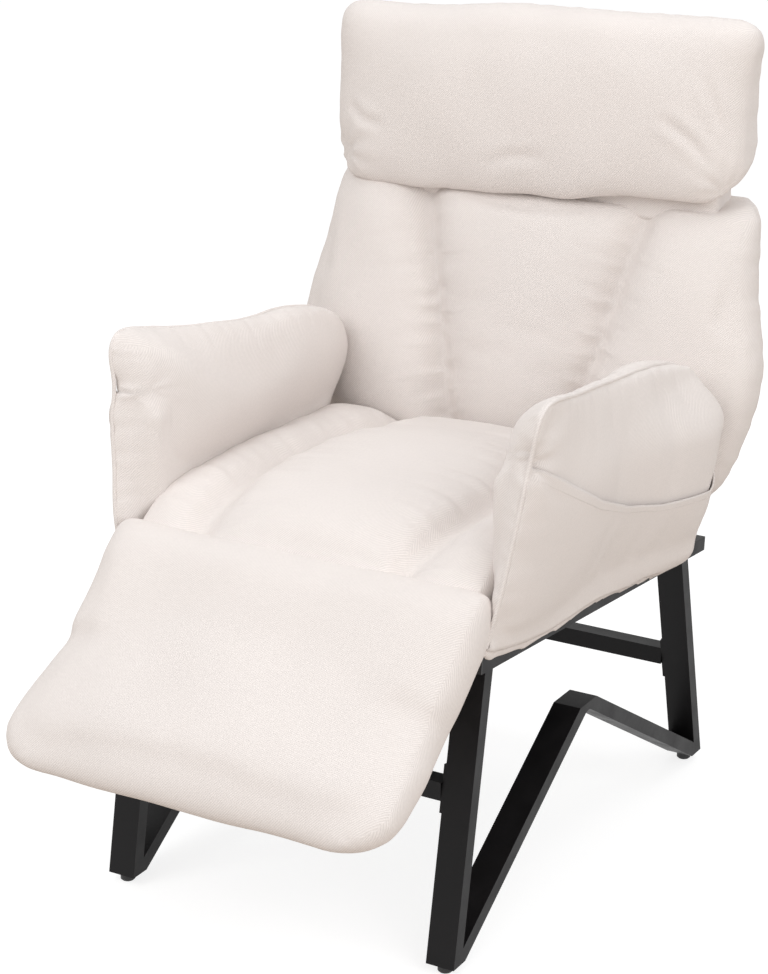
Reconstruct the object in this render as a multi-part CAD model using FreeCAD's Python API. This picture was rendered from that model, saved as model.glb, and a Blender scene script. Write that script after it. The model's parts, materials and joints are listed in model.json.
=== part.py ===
import FreeCAD, Part
import math
import os
from FreeCAD import Vector

# Recliner chair: a padded seat unit with ratchet hinges on a welded steel base.
# Millimetres and degrees. +X is the sitter's left, -Y the front, +Z up.
# The origin is on the floor below the middle of the chair's box. The sizes below count from
# the middle of the base, which BOX_MIDDLE_Y moves to the origin when a part is saved.

os.makedirs("parts", exist_ok=True)

BOX_MIDDLE_Y = 8.7           # middle of the whole chair, from the first sizes' own zero

# Steel base
BASE_HALF_WIDTH = 263.0      # outer faces of the two side frames
TUBE_WIDTH = 40.0            # flat tube, across the chair
TUBE_DEPTH = 20.0            # flat tube, in the side frame's plane
TUBE_WALL = 1.5
FRONT_FOOT_Y = -291.0        # front face of the front foot
REAR_FOOT_Y = 463.0          # rear face of the rear foot
FOOT_FLAT = 30.0             # level length under a foot
FRONT_POST_LEAN = 11.0       # from upright
REAR_POST_LEAN = 13.0
APEX_Y = 77.0                # middle of the W's top
APEX_HEIGHT = 236.0
APEX_FLAT = 48.0
APEX_ROUND = 15.0
RAIL_FRONT_Y = -226.0
RAIL_REAR_Y = 443.0
RAIL_FRONT_HEIGHT = 389.0    # underside at the front end
RAIL_TILT = 4.9              # falls to the rear
END_CAP = 2.5
END_PLUG = 14.0
CROSS_BAR = 25.0             # square tube
FRONT_BAR_HEIGHT = 231.0
REAR_BAR_HEIGHT = 173.0
BRACKET_THICKNESS = 3.0
BRACKET_HEIGHT = 63.0
BRACKET_MARGIN = 6.0         # flange stops short of the post's outer face
GLIDE_RADIUS = 10.0
GLIDE_HEIGHT = 12.0
GLIDE_CHAMFER = 2.0
BOLT_RADIUS = 4.0
BOLT_HEAD_RADIUS = 7.0
BOLT_HEAD_HEIGHT = 5.0
BOLT_CLEARANCE = 0.1
BRACKET_BOLT_LENGTH = 12.0   # under the head
SEAT_BOLT_Y = (-120.0, 215.0)

# Round-tube frames inside the upholstery
FRAME_RADIUS = 10.0
FRAME_WALL = 1.5
FRAME_X = BASE_HALF_WIDTH - TUBE_WIDTH / 2
WEBBING_WIDTH = 50.0
WEBBING_THICKNESS = 2.0
WEBBING_END = 5.0            # past the middle of the tube
ARM_TUBE_RADIUS = 7.0
ARM_LEG_Y = (-130.0, 200.0)
ARM_TUBE_TOP = 600.0         # middle of the arm tube's top run, at the front leg
ARM_TUBE_FALL = 60.0         # fall of the top run to the rear leg
ARM_BEND = 40.0

# Ratchet hinges
GEAR_RADIUS = 17.5
GEAR_TOOTH = 2.5
GEAR_TEETH = 16
GEAR_THICKNESS = 5.0
HOUSING_RADIUS = 20.0
HOUSING_PLATE = 2.5
HOUSING_WIDTH = 12.5         # of the arm that plugs into the parent tube
SIDE_CLEARANCE = 0.5         # gear to housing plate
SHANK_WIDTH = 16.0           # of the toothed plate's shank in the child tube
PIVOT_RADIUS = 5.0
PIVOT_CLEARANCE = 0.05
PIVOT_HEAD_RADIUS = 8.0
PIVOT_HEAD = 2.0
PAWL_DISTANCE = 33.0         # pawl pin from the pivot
PAWL_RADIUS = 5.0
PAWL_PIN_RADIUS = 2.5
PAWL_LIFT = 0.8              # nose clear of the teeth
BLOCK_START = 47.0           # spacer block from the pivot
SPRING_THICKNESS = 0.8
SPRING_WIDTH = 4.0
CHILD_TUBE_START = 40.0      # child tube's end from the pivot
PARENT_TUBE_END = 50.0       # parent tube's end from the pivot
PLUG_LENGTH = 38.0

# Hinge axes
BACK_AXIS = (340.0, 430.0)
BACK_LEAN = 12.5             # from upright, to the rear
KNEE_Y = 309.0               # where the back housing turns into the seat tube
FOOT_AXIS_Y = -262.0
FOOT_SLOPE = 41.5            # below level
HEAD_DISTANCE = 445.0        # head axis up the back from the back axis
HEAD_LEAN = 7.0

# Upholstery
GAP = 0.3                    # between neighbouring soft pieces
SEAT_TOP = 519.0
SEAT_HALF_WIDTH = BASE_HALF_WIDTH - 29.0
SEAM_HALF = SEAT_HALF_WIDTH - 84.0   # seat's two sewn channels
CHANNEL_HALF = 9.0           # half the width of a sewn channel's mouth
SEAT_REAR_CLEARANCE = 4.0    # seat and arms to the back's front
BACK_FRONT = 51.0            # back's crown in front of the frame's plane
BACK_REAR = 54.0
BACK_ROLL = 50.0             # round lower end about the back axis
ROLL_HALF_LENGTH = FRAME_X - 15.0    # inside the ratchets
POCKET_HALF = 17.0           # room left for the ratchets, either side of the tube
RATCHET_ROOM = 22.0          # radius left free round a pivot
FOOT_TOP = 34.0              # footrest's top over the frame's plane, without its swell
FOOT_BOTTOM = 48.0
FOOT_LENGTH = 284.0          # toe from the foot axis
FOOT_ROLL = 30.0
PILLOW_HALF_LENGTH = BASE_HALF_WIDTH + 49.0
PILLOW_FRONT = 71.0
PILLOW_REAR = 46.0
PILLOW_TOP = 220.0
ARM_TOP_FRONT = 722.0        # outer seam's front corner
ARM_TOP_REAR = 636.0
ARM_FRONT_Y = -232.0         # at the foot of the arm's front edge
ARM_FRONT_LEAN = 10.0
ARM_FLARE = 0.134            # outward per unit of height
ARM_FLARE_HEIGHT = 461.0     # height where the outer face is at ARM_OUTER_X
ARM_OUTER_X = BASE_HALF_WIDTH + 20.0
ARM_INNER_X = BASE_HALF_WIDTH - 21.0
SKIRT_DROP = 10.0            # side panel's lower edge below the rail's top
PANEL_THICKNESS = 3.0
COVER_THICKNESS = 1.5
SPLIT = 12.0                 # plane between front and rear halves, from the frame's plane


def sine(angle):
    return math.sin(math.radians(angle))


def cosine(angle):
    return math.cos(math.radians(angle))


def tangent(angle):
    return math.tan(math.radians(angle))


def along(point, direction, distance):
    return (point[0] + direction[0] * distance, point[1] + direction[1] * distance)


def crossing(p, d, q, e):
    """Point where the line through p along d meets the line through q along e."""
    det = d[0] * e[1] - d[1] * e[0]
    t = ((q[0] - p[0]) * e[1] - (q[1] - p[1]) * e[0]) / det
    return along(p, d, t)


def toward(p, q):
    length = math.hypot(q[0] - p[0], q[1] - p[1])
    return ((q[0] - p[0]) / length, (q[1] - p[1]) / length)


def left_of(direction):
    return (-direction[1], direction[0])


def side_place(x):
    """Places a (y, z) pair on the plane at x."""
    return lambda y, z: Vector(x, y, z)


def closed_wire(points, radii, place):
    """Closed outline of lines, with an arc at each corner that has a radius."""
    count = len(points)
    entries = []
    for i in range(count):
        before = toward(points[i], points[i - 1])
        after = toward(points[i], points[(i + 1) % count])
        radius = radii[i]
        if radius <= 0:
            entries.append((points[i], None, points[i]))
            continue
        dot = max(-1.0, min(1.0, before[0] * after[0] + before[1] * after[1]))
        half = math.acos(dot) / 2
        reach = radius / math.tan(half)
        bisector = toward((0, 0), (before[0] + after[0], before[1] + after[1]))
        middle = along(points[i], bisector, radius / math.sin(half) - radius)
        entries.append((along(points[i], before, reach), middle, along(points[i], after, reach)))
    edges = []
    for i in range(count):
        start, middle, end = entries[i]
        if middle is not None:
            edges.append(Part.Arc(place(*start), place(*middle), place(*end)).toShape())
        following = entries[(i + 1) % count][0]
        edges.append(Part.makeLine(place(*end), place(*following)))
    return Part.Wire(edges)


def prism(points, x0, x1, radii=None):
    """Outline in the side plane, extruded between x0 and x1."""
    wire = closed_wire(points, radii or [0] * len(points), side_place(x0))
    return Part.Face(wire).extrude(Vector(x1 - x0, 0, 0))


def bar(p, q, width, x0, x1):
    """Flat bar of the given width from p to q in the side plane."""
    side = left_of(toward(p, q))
    half = width / 2
    points = [along(p, side, half), along(q, side, half), along(q, side, -half), along(p, side, -half)]
    return prism(points, x0, x1)


def disc(centre, radius, x0, x1):
    return Part.makeCylinder(radius, x1 - x0, Vector(x0, centre[0], centre[1]), Vector(1, 0, 0))


def rod(p, q, radius, x):
    """Round bar from p to q in the side plane at x."""
    start = Vector(x, p[0], p[1])
    axis = Vector(0, q[0] - p[0], q[1] - p[1])
    return Part.makeCylinder(radius, axis.Length, start, axis)


def half_plane(p, q, reach=2000.0):
    """Large block on the left of the line from p to q."""
    direction = toward(p, q)
    side = left_of(direction)
    low = along(p, direction, -reach)
    high = along(p, direction, reach)
    return prism([low, high, along(high, side, reach), along(low, side, reach)], -reach, reach)


def mirrored(shape):
    return shape.mirror(Vector(0, 0, 0), Vector(1, 0, 0))


def save(name, shape):
    placed = shape.translated(Vector(0, -BOX_MIDDLE_Y, 0))
    placed.exportStep("parts/" + name + ".step")


def save_pair(name, shape):
    save("left_" + name, shape)
    save("right_" + name, mirrored(shape))


def save_group(name, solids):
    save(name, Part.makeCompound(solids))


def both_sides(solids):
    return solids + [mirrored(solid) for solid in solids]


def hex_bolt(origin, axis, length):
    """Bolt whose head stands on origin, with its shank along axis."""
    corners = []
    for i in range(6):
        turn = math.radians(60 * i)
        across = BOLT_HEAD_RADIUS * math.cos(turn)
        upward = BOLT_HEAD_RADIUS * math.sin(turn)
        corners.append(Vector(across, upward, -BOLT_HEAD_HEIGHT))
    head = Part.Face(Part.makePolygon(corners + corners[:1])).extrude(Vector(0, 0, BOLT_HEAD_HEIGHT))
    bolt = head.fuse(Part.makeCylinder(BOLT_RADIUS, length)).removeSplitter()
    bolt.Placement = FreeCAD.Placement(origin, FreeCAD.Rotation(Vector(0, 0, 1), axis))
    return bolt


def bolt_hole(origin, axis, length):
    return Part.makeCylinder(BOLT_RADIUS + BOLT_CLEARANCE, length, origin, axis)


# Side frames of the base
INNER_X = BASE_HALF_WIDTH - TUBE_WIDTH
RAIL_DIRECTION = (cosine(RAIL_TILT), -sine(RAIL_TILT))
RAIL_NORMAL = (sine(RAIL_TILT), cosine(RAIL_TILT))
RAIL_START = (RAIL_FRONT_Y, RAIL_FRONT_HEIGHT)
FRONT_POST = (sine(FRONT_POST_LEAN), cosine(FRONT_POST_LEAN))
REAR_POST = (-sine(REAR_POST_LEAN), cosine(REAR_POST_LEAN))


def rail_top(y):
    return RAIL_FRONT_HEIGHT - (y - RAIL_FRONT_Y) * tangent(RAIL_TILT) + TUBE_DEPTH / cosine(RAIL_TILT)


def above_rail(y, height):
    """Point at the given height over the rail's top, measured square to the rail."""
    return (y, rail_top(y) + height / cosine(RAIL_TILT))


def brace_slope(heel, apex):
    span = abs(apex[0] - heel[0])
    rise = apex[1] - heel[1]
    return math.atan2(rise, span) - math.asin(TUBE_DEPTH / math.hypot(span, rise))


front_toe = (FRONT_FOOT_Y, GLIDE_HEIGHT)
front_heel = (FRONT_FOOT_Y + FOOT_FLAT, GLIDE_HEIGHT)
rear_toe = (REAR_FOOT_Y, GLIDE_HEIGHT)
rear_heel = (REAR_FOOT_Y - FOOT_FLAT, GLIDE_HEIGHT)
apex_front = (APEX_Y - APEX_FLAT / 2, APEX_HEIGHT)
apex_rear = (APEX_Y + APEX_FLAT / 2, APEX_HEIGHT)
front_slope = brace_slope(front_heel, apex_front)
rear_slope = brace_slope(rear_heel, apex_rear)
FRONT_BRACE = (math.cos(front_slope), math.sin(front_slope))
REAR_BRACE = (-math.cos(rear_slope), math.sin(rear_slope))
front_post_back = along(front_toe, left_of(FRONT_POST), -TUBE_DEPTH)
rear_post_front = along(rear_toe, left_of(REAR_POST), TUBE_DEPTH)
front_crotch = crossing(front_post_back, FRONT_POST, apex_front, FRONT_BRACE)
rear_crotch = crossing(rear_post_front, REAR_POST, apex_rear, REAR_BRACE)
apex_under = crossing(front_heel, FRONT_BRACE, rear_heel, REAR_BRACE)
outline = [
    crossing(front_toe, FRONT_POST, RAIL_START, RAIL_DIRECTION),
    front_toe,
    front_heel,
    apex_under,
    rear_heel,
    rear_toe,
    crossing(rear_toe, REAR_POST, RAIL_START, RAIL_DIRECTION),
    crossing(rear_post_front, REAR_POST, RAIL_START, RAIL_DIRECTION),
    rear_crotch,
    apex_rear,
    apex_front,
    front_crotch,
    crossing(front_post_back, FRONT_POST, RAIL_START, RAIL_DIRECTION),
]
outline_radii = [APEX_ROUND if point is apex_under else 0 for point in outline]
frame_face = Part.Face(closed_wire(outline, outline_radii, side_place(INNER_X)))
cavity_face = frame_face.makeOffset2D(-TUBE_WALL)
cavity_face.translate(Vector(TUBE_WALL, 0, 0))
side_frame = frame_face.extrude(Vector(TUBE_WIDTH, 0, 0))
side_frame = side_frame.cut(cavity_face.extrude(Vector(TUBE_WIDTH - 2 * TUBE_WALL, 0, 0)))

# Welded lengths: the W is mitred at both feet and at its top
front_mitre = half_plane((FRONT_FOOT_Y + FOOT_FLAT / 2, GLIDE_HEIGHT), front_crotch)
rear_mitre = half_plane(rear_crotch, (REAR_FOOT_Y - FOOT_FLAT / 2, GLIDE_HEIGHT))
apex_mitre = half_plane((APEX_Y, 0), (APEX_Y, APEX_HEIGHT))
front_post = side_frame.common(front_mitre)
rear_post = side_frame.common(rear_mitre)
braces = side_frame.cut(front_mitre).cut(rear_mitre)
front_brace = braces.common(apex_mitre)
rear_brace = braces.cut(apex_mitre)

# Seat rails with plastic caps
RAIL_LENGTH = (RAIL_REAR_Y - RAIL_FRONT_Y) / cosine(RAIL_TILT)
rail_end = along(RAIL_START, RAIL_DIRECTION, RAIL_LENGTH)
rail_low = along(RAIL_START, RAIL_NORMAL, TUBE_DEPTH / 2)
rail_high = along(rail_end, RAIL_NORMAL, TUBE_DEPTH / 2)
rail = bar(rail_low, rail_high, TUBE_DEPTH, INNER_X, BASE_HALF_WIDTH)
bore = bar(rail_low, rail_high, TUBE_DEPTH - 2 * TUBE_WALL, INNER_X + TUBE_WALL, BASE_HALF_WIDTH - TUBE_WALL)
rail = rail.cut(bore)


def end_cap(point, outward):
    plate = bar(point, along(point, outward, END_CAP), TUBE_DEPTH, INNER_X, BASE_HALF_WIDTH)
    inset = TUBE_WALL + BOLT_CLEARANCE
    inner_end = along(point, outward, -END_PLUG)
    plug = bar(inner_end, point, TUBE_DEPTH - 2 * inset, INNER_X + inset, BASE_HALF_WIDTH - inset)
    return plate.fuse(plug).removeSplitter()


rail_backward = (-RAIL_DIRECTION[0], -RAIL_DIRECTION[1])
rail_caps = [end_cap(rail_low, rail_backward), end_cap(rail_high, RAIL_DIRECTION)]
save_group("rail_end_caps", both_sides(rail_caps))

# Cross bars with angle brackets, bolted to the posts' rear faces
bar_end_x = INNER_X - BRACKET_THICKNESS


def cross_bar(post_rear, post_direction, height):
    """Cross bar, left bracket, its bolt and the bolt's hole tool at one pair of posts."""
    rear_side = left_of(post_direction)
    if rear_side[0] < 0:
        rear_side = (-rear_side[0], -rear_side[1])
    on_rear = along(post_rear, post_direction, (height - post_rear[1]) / post_direction[1])
    centre = along(on_rear, rear_side, -TUBE_DEPTH / 2)
    half = CROSS_BAR / 2
    outer_corner = Vector(-bar_end_x, centre[0] - half, height - half)
    outer = Part.makeBox(2 * bar_end_x, CROSS_BAR, CROSS_BAR, outer_corner)
    inside = CROSS_BAR - 2 * TUBE_WALL
    corner = Vector(-bar_end_x, centre[0] - inside / 2, height - inside / 2)
    tube = outer.cut(Part.makeBox(2 * bar_end_x, inside, inside, corner))
    low = along(centre, post_direction, -BRACKET_HEIGHT / 2)
    high = along(centre, post_direction, BRACKET_HEIGHT / 2)
    web = bar(low, high, TUBE_DEPTH, bar_end_x, INNER_X)
    shift = TUBE_DEPTH / 2 + BRACKET_THICKNESS / 2
    flange_low = along(low, rear_side, shift)
    flange_high = along(high, rear_side, shift)
    flange = bar(flange_low, flange_high, BRACKET_THICKNESS, bar_end_x, BASE_HALF_WIDTH - BRACKET_MARGIN)
    seat = along(on_rear, rear_side, BRACKET_THICKNESS)
    head = Vector(FRAME_X, seat[0], seat[1])
    inward = Vector(0, -rear_side[0], -rear_side[1])
    hole = bolt_hole(head, inward, BRACKET_BOLT_LENGTH)
    bracket = web.fuse(flange).removeSplitter().cut(hole)
    return tube, bracket, hex_bolt(head, inward, BRACKET_BOLT_LENGTH), hole


front_bar, front_bracket, front_bolt, front_hole = cross_bar(front_post_back, FRONT_POST, FRONT_BAR_HEIGHT)
rear_bar, rear_bracket, rear_bolt, rear_hole = cross_bar(rear_toe, REAR_POST, REAR_BAR_HEIGHT)
front_post = front_post.cut(front_hole)
rear_post = rear_post.cut(rear_hole)
save_pair("front_post", front_post)
save_pair("front_brace", front_brace)
save_pair("rear_brace", rear_brace)
save_pair("rear_post", rear_post)
save("front_cross_bar", front_bar)
save("rear_cross_bar", rear_bar)
save_group("cross_bar_brackets", both_sides([front_bracket, rear_bracket]))
save_group("bracket_bolts", both_sides([front_bolt, rear_bolt]))

# Glides under the feet
glides = []
for foot_y in (FRONT_FOOT_Y + FOOT_FLAT / 2, REAR_FOOT_Y - FOOT_FLAT / 2):
    ground = Vector(FRAME_X, foot_y, 0)
    lower = Part.makeCone(GLIDE_RADIUS - GLIDE_CHAMFER, GLIDE_RADIUS, GLIDE_CHAMFER, ground)
    shoulder = Vector(FRAME_X, foot_y, GLIDE_CHAMFER)
    upper = Part.makeCylinder(GLIDE_RADIUS, GLIDE_HEIGHT - GLIDE_CHAMFER, shoulder)
    glides.append(lower.fuse(upper))
save_group("floor_glides", both_sides(glides))

# Round-tube frames: two side tubes and cross tubes welded between them


def tube_frame(start, end, cross_distances, crossing_radius):
    direction = toward(start, end)
    left_outer = rod(start, end, FRAME_RADIUS, FRAME_X)
    left_inner = rod(start, end, FRAME_RADIUS - FRAME_WALL, FRAME_X)
    frame = left_outer.cut(left_inner)
    right = mirrored(frame)
    for distance in cross_distances:
        centre = along(start, direction, distance)
        outer = disc(centre, crossing_radius, -FRAME_X, FRAME_X)
        inner = disc(centre, crossing_radius - FRAME_WALL, -FRAME_X, FRAME_X)
        tube = outer.cut(inner).cut(left_outer).cut(mirrored(left_outer))
        frame = frame.fuse(tube)
    return frame.fuse(right)


def webbing(start, end, distances, side, width=WEBBING_WIDTH):
    """Straps across the frame, lying on the tubes' upholstery side."""
    direction = toward(start, end)
    reach = FRAME_X + WEBBING_END
    straps = []
    for distance in distances:
        centre = along(start, direction, distance)
        middle = along(centre, side, FRAME_RADIUS + WEBBING_THICKNESS / 2 + GAP / 3)
        low = along(middle, direction, -width / 2)
        high = along(middle, direction, width / 2)
        straps.append(bar(low, high, WEBBING_THICKNESS, -reach, reach))
    return straps


CROSS_RADIUS = FRAME_RADIUS - FRAME_WALL
FOOT_AXIS = above_rail(FOOT_AXIS_Y, FRAME_RADIUS)
KNEE = above_rail(KNEE_Y, FRAME_RADIUS)
seat_front = along(FOOT_AXIS, RAIL_DIRECTION, PARENT_TUBE_END)
seat_rear = along(KNEE, RAIL_DIRECTION, -HOUSING_WIDTH)
SEAT_CROSSES = (70.0, 455.0)
seat_frame = tube_frame(seat_front, seat_rear, SEAT_CROSSES, CROSS_RADIUS)
seat_bolts = []
up = Vector(0, RAIL_NORMAL[0], RAIL_NORMAL[1])
for bolt_y in SEAT_BOLT_Y:
    top = along((bolt_y, rail_top(bolt_y)), RAIL_NORMAL, -TUBE_DEPTH)
    head = Vector(FRAME_X, top[0], top[1])
    length = TUBE_DEPTH + FRAME_RADIUS
    hole = bolt_hole(head, up, length)
    rail = rail.cut(hole)
    seat_frame = seat_frame.cut(hole).cut(mirrored(hole))
    seat_bolts.append(hex_bolt(head, up, length))
save_pair("seat_rail", rail)
save_group("seat_bolts", both_sides(seat_bolts))
save("seat_frame", seat_frame)
SEAT_STRAPS = (30.0, 120.0, 200.0, 280.0, 360.0, 430.0)
save_group("seat_webbing", webbing(seat_front, seat_rear, SEAT_STRAPS, RAIL_NORMAL))

UP_BACK = (sine(BACK_LEAN), cosine(BACK_LEAN))
BEHIND_BACK = (cosine(BACK_LEAN), -sine(BACK_LEAN))
HEAD_AXIS = along(BACK_AXIS, UP_BACK, HEAD_DISTANCE)
UP_HEAD = (sine(HEAD_LEAN), cosine(HEAD_LEAN))
BEHIND_HEAD = (cosine(HEAD_LEAN), -sine(HEAD_LEAN))
DOWN_FOOT = (-cosine(FOOT_SLOPE), -sine(FOOT_SLOPE))
OVER_FOOT = (-sine(FOOT_SLOPE), cosine(FOOT_SLOPE))

back_low = along(BACK_AXIS, UP_BACK, CHILD_TUBE_START)
back_high = along(HEAD_AXIS, UP_BACK, -PARENT_TUBE_END)
BACK_CROSSES = (35.0, 310.0)
BACK_STRAPS = (80.0, 140.0, 200.0, 260.0)
save("back_frame", tube_frame(back_low, back_high, BACK_CROSSES, CROSS_RADIUS))
in_front = (-BEHIND_BACK[0], -BEHIND_BACK[1])
save_group("back_webbing", webbing(back_low, back_high, BACK_STRAPS, in_front))

HEAD_FRAME_LENGTH = 110.0
head_low = along(HEAD_AXIS, UP_HEAD, CHILD_TUBE_START)
head_high = along(head_low, UP_HEAD, HEAD_FRAME_LENGTH)
save("head_frame", tube_frame(head_low, head_high, (HEAD_FRAME_LENGTH - FRAME_RADIUS,), CROSS_RADIUS))

FOOT_FRAME_LENGTH = 188.0
FOOT_FIRST_CROSS = 45.0
FOOT_STRAPS = (78.0, 140.0)
foot_high = along(FOOT_AXIS, DOWN_FOOT, CHILD_TUBE_START)
foot_low = along(foot_high, DOWN_FOOT, FOOT_FRAME_LENGTH)
foot_crosses = (FOOT_FIRST_CROSS, FOOT_FRAME_LENGTH - FRAME_RADIUS)
save("foot_frame", tube_frame(foot_high, foot_low, foot_crosses, CROSS_RADIUS))
save_group("foot_webbing", webbing(foot_high, foot_low, FOOT_STRAPS, OVER_FOOT))

# Arm tubes: an upside-down U beside each seat tube
arm_tube_x = FRAME_X + FRAME_RADIUS + ARM_TUBE_RADIUS + GAP / 3
leg_feet = [above_rail(leg_y, GAP + ARM_TUBE_RADIUS * tangent(RAIL_TILT)) for leg_y in ARM_LEG_Y]
leg_tops = [(ARM_LEG_Y[0], ARM_TUBE_TOP), (ARM_LEG_Y[1], ARM_TUBE_TOP - ARM_TUBE_FALL)]


def open_path(points, radius, x):
    """Open path of lines with rounded corners in the side plane at x."""
    edges = []
    start = points[0]
    for i in range(1, len(points) - 1):
        before = toward(points[i], points[i - 1])
        after = toward(points[i], points[i + 1])
        half = math.acos(before[0] * after[0] + before[1] * after[1]) / 2
        reach = radius / math.tan(half)
        bisector = toward((0, 0), (before[0] + after[0], before[1] + after[1]))
        entry = along(points[i], before, reach)
        middle = along(points[i], bisector, radius / math.sin(half) - radius)
        leave = along(points[i], after, reach)
        place = side_place(x)
        edges.append(Part.makeLine(place(*start), place(*entry)))
        edges.append(Part.Arc(place(*entry), place(*middle), place(*leave)).toShape())
        start = leave
    edges.append(Part.makeLine(side_place(x)(*start), side_place(x)(*points[-1])))
    return Part.Wire(edges)


def swept_tube(points, bend, radius, x):
    path = open_path(points, bend, x)
    foot = Vector(x, points[0][0], points[0][1])
    ring = Part.Wire(Part.makeCircle(radius, foot, Vector(0, 0, 1)))
    return path.makePipeShell([ring], True, False)


arm_points = [leg_feet[0], leg_tops[0], leg_tops[1], leg_feet[1]]
arm_tube = swept_tube(arm_points, ARM_BEND, ARM_TUBE_RADIUS, arm_tube_x)
arm_bore = swept_tube(arm_points, ARM_BEND, ARM_TUBE_RADIUS - FRAME_WALL, arm_tube_x)
save_pair("arm_frame", arm_tube.cut(arm_bore))

# Ratchet hinges
GEAR_LOW_X = FRAME_X - GEAR_THICKNESS / 2
GEAR_HIGH_X = FRAME_X + GEAR_THICKNESS / 2
PLATE_LOW_X = GEAR_LOW_X - SIDE_CLEARANCE
PLATE_HIGH_X = GEAR_HIGH_X + SIDE_CLEARANCE
HOUSING_LOW_X = PLATE_LOW_X - HOUSING_PLATE
HOUSING_HIGH_X = PLATE_HIGH_X + HOUSING_PLATE
TOOTH_ARC = 220.0            # toothed part of the plate, opposite its shank


def ratchet_gear(axis, direction):
    heading = math.atan2(direction[1], direction[0]) + math.pi
    points = []
    for i in range(2 * GEAR_TEETH + 1):
        angle = heading + math.radians(TOOTH_ARC * (i / (2 * GEAR_TEETH) - 0.5))
        radius = GEAR_RADIUS - (GEAR_TOOTH if i % 2 else 0)
        points.append((axis[0] + radius * math.cos(angle), axis[1] + radius * math.sin(angle)))
    toothed = prism(points, GEAR_LOW_X, GEAR_HIGH_X)
    hub = disc(axis, GEAR_RADIUS - GEAR_TOOTH, GEAR_LOW_X, GEAR_HIGH_X)
    shank_end = along(axis, direction, CHILD_TUBE_START + PLUG_LENGTH)
    shank = bar(axis, shank_end, SHANK_WIDTH, GEAR_LOW_X, GEAR_HIGH_X)
    gear = toothed.fuse(hub).fuse(shank)
    return gear.cut(disc(axis, PIVOT_RADIUS + PIVOT_CLEARANCE, GEAR_LOW_X, GEAR_HIGH_X)).removeSplitter()


def ratchet_housing(axis, path, pawl):
    """Two plates along path, joined by a spacer block outside the pawl's room."""
    body = None
    for low, high in ((HOUSING_LOW_X, PLATE_LOW_X), (PLATE_HIGH_X, HOUSING_HIGH_X)):
        plate = disc(axis, HOUSING_RADIUS, low, high)
        for p, q in zip(path, path[1:]):
            plate = plate.fuse(bar(p, q, HOUSING_WIDTH, low, high))
        for bend in path[1:-1]:
            plate = plate.fuse(disc(bend, HOUSING_WIDTH / 2, low, high))
        plate = plate.cut(disc(axis, PIVOT_RADIUS + PIVOT_CLEARANCE, low, high))
        plate = plate.cut(disc(pawl, PAWL_PIN_RADIUS + PIVOT_CLEARANCE, low, high))
        body = plate if body is None else body.fuse(plate)
    first = along(axis, toward(axis, path[1]), BLOCK_START)
    spine = [first] + path[1:]
    for p, q in zip(spine, spine[1:]):
        body = body.fuse(bar(p, q, HOUSING_WIDTH, PLATE_LOW_X, PLATE_HIGH_X))
    for bend in path[1:-1]:
        body = body.fuse(disc(bend, HOUSING_WIDTH / 2, PLATE_LOW_X, PLATE_HIGH_X))
    return body.removeSplitter()


def ratchet_pivot(axis):
    pin = disc(axis, PIVOT_RADIUS, HOUSING_LOW_X, HOUSING_HIGH_X)
    inner_head = disc(axis, PIVOT_HEAD_RADIUS, HOUSING_LOW_X - PIVOT_HEAD, HOUSING_LOW_X)
    outer_head = disc(axis, PIVOT_HEAD_RADIUS, HOUSING_HIGH_X, HOUSING_HIGH_X + PIVOT_HEAD)
    return pin.fuse(inner_head).fuse(outer_head).removeSplitter()


def ratchet_pawl(axis, path):
    direction = toward(axis, path[1])
    centre = along(axis, direction, PAWL_DISTANCE)
    nose = along(axis, direction, GEAR_RADIUS + PAWL_LIFT)
    pawl = disc(centre, PAWL_RADIUS, GEAR_LOW_X, GEAR_HIGH_X)
    pawl = pawl.fuse(bar(centre, nose, PAWL_RADIUS, GEAR_LOW_X, GEAR_HIGH_X))
    return pawl.fuse(disc(centre, PAWL_PIN_RADIUS, HOUSING_LOW_X, HOUSING_HIGH_X)).removeSplitter()


def pawl_spring(axis, path):
    """Leaf between the spacer block and the pawl's tail."""
    direction = toward(axis, path[1])
    shift = left_of(direction)
    start = along(along(axis, direction, BLOCK_START - GAP / 3), shift, PAWL_RADIUS / 2)
    end = along(along(axis, direction, PAWL_DISTANCE + PAWL_RADIUS), shift, PAWL_RADIUS / 2)
    half = SPRING_WIDTH / 2
    return bar(start, end, SPRING_THICKNESS, FRAME_X - half, FRAME_X + half)


def hinge(name, axis, path, direction):
    """Writes one hinge line's ratchets, left and right."""
    pawl = along(axis, toward(axis, path[1]), PAWL_DISTANCE)
    save_pair(name + "_ratchet_housing", ratchet_housing(axis, path, pawl))
    save_pair(name + "_ratchet_gear", ratchet_gear(axis, direction))
    save_group(name + "_pivot_rivets", both_sides([ratchet_pivot(axis)]))
    save_group(name + "_pawls", both_sides([ratchet_pawl(axis, path)]))
    save_group(name + "_pawl_springs", both_sides([pawl_spring(axis, path)]))


plug_end = PARENT_TUBE_END + PLUG_LENGTH
hinge("back", BACK_AXIS, [BACK_AXIS, KNEE, along(seat_rear, RAIL_DIRECTION, -PLUG_LENGTH)], UP_BACK)
hinge("head", HEAD_AXIS, [HEAD_AXIS, along(HEAD_AXIS, UP_BACK, -plug_end)], UP_HEAD)
hinge("foot", FOOT_AXIS, [FOOT_AXIS, along(FOOT_AXIS, RAIL_DIRECTION, plug_end)], DOWN_FOOT)

# Cushion sections


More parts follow.
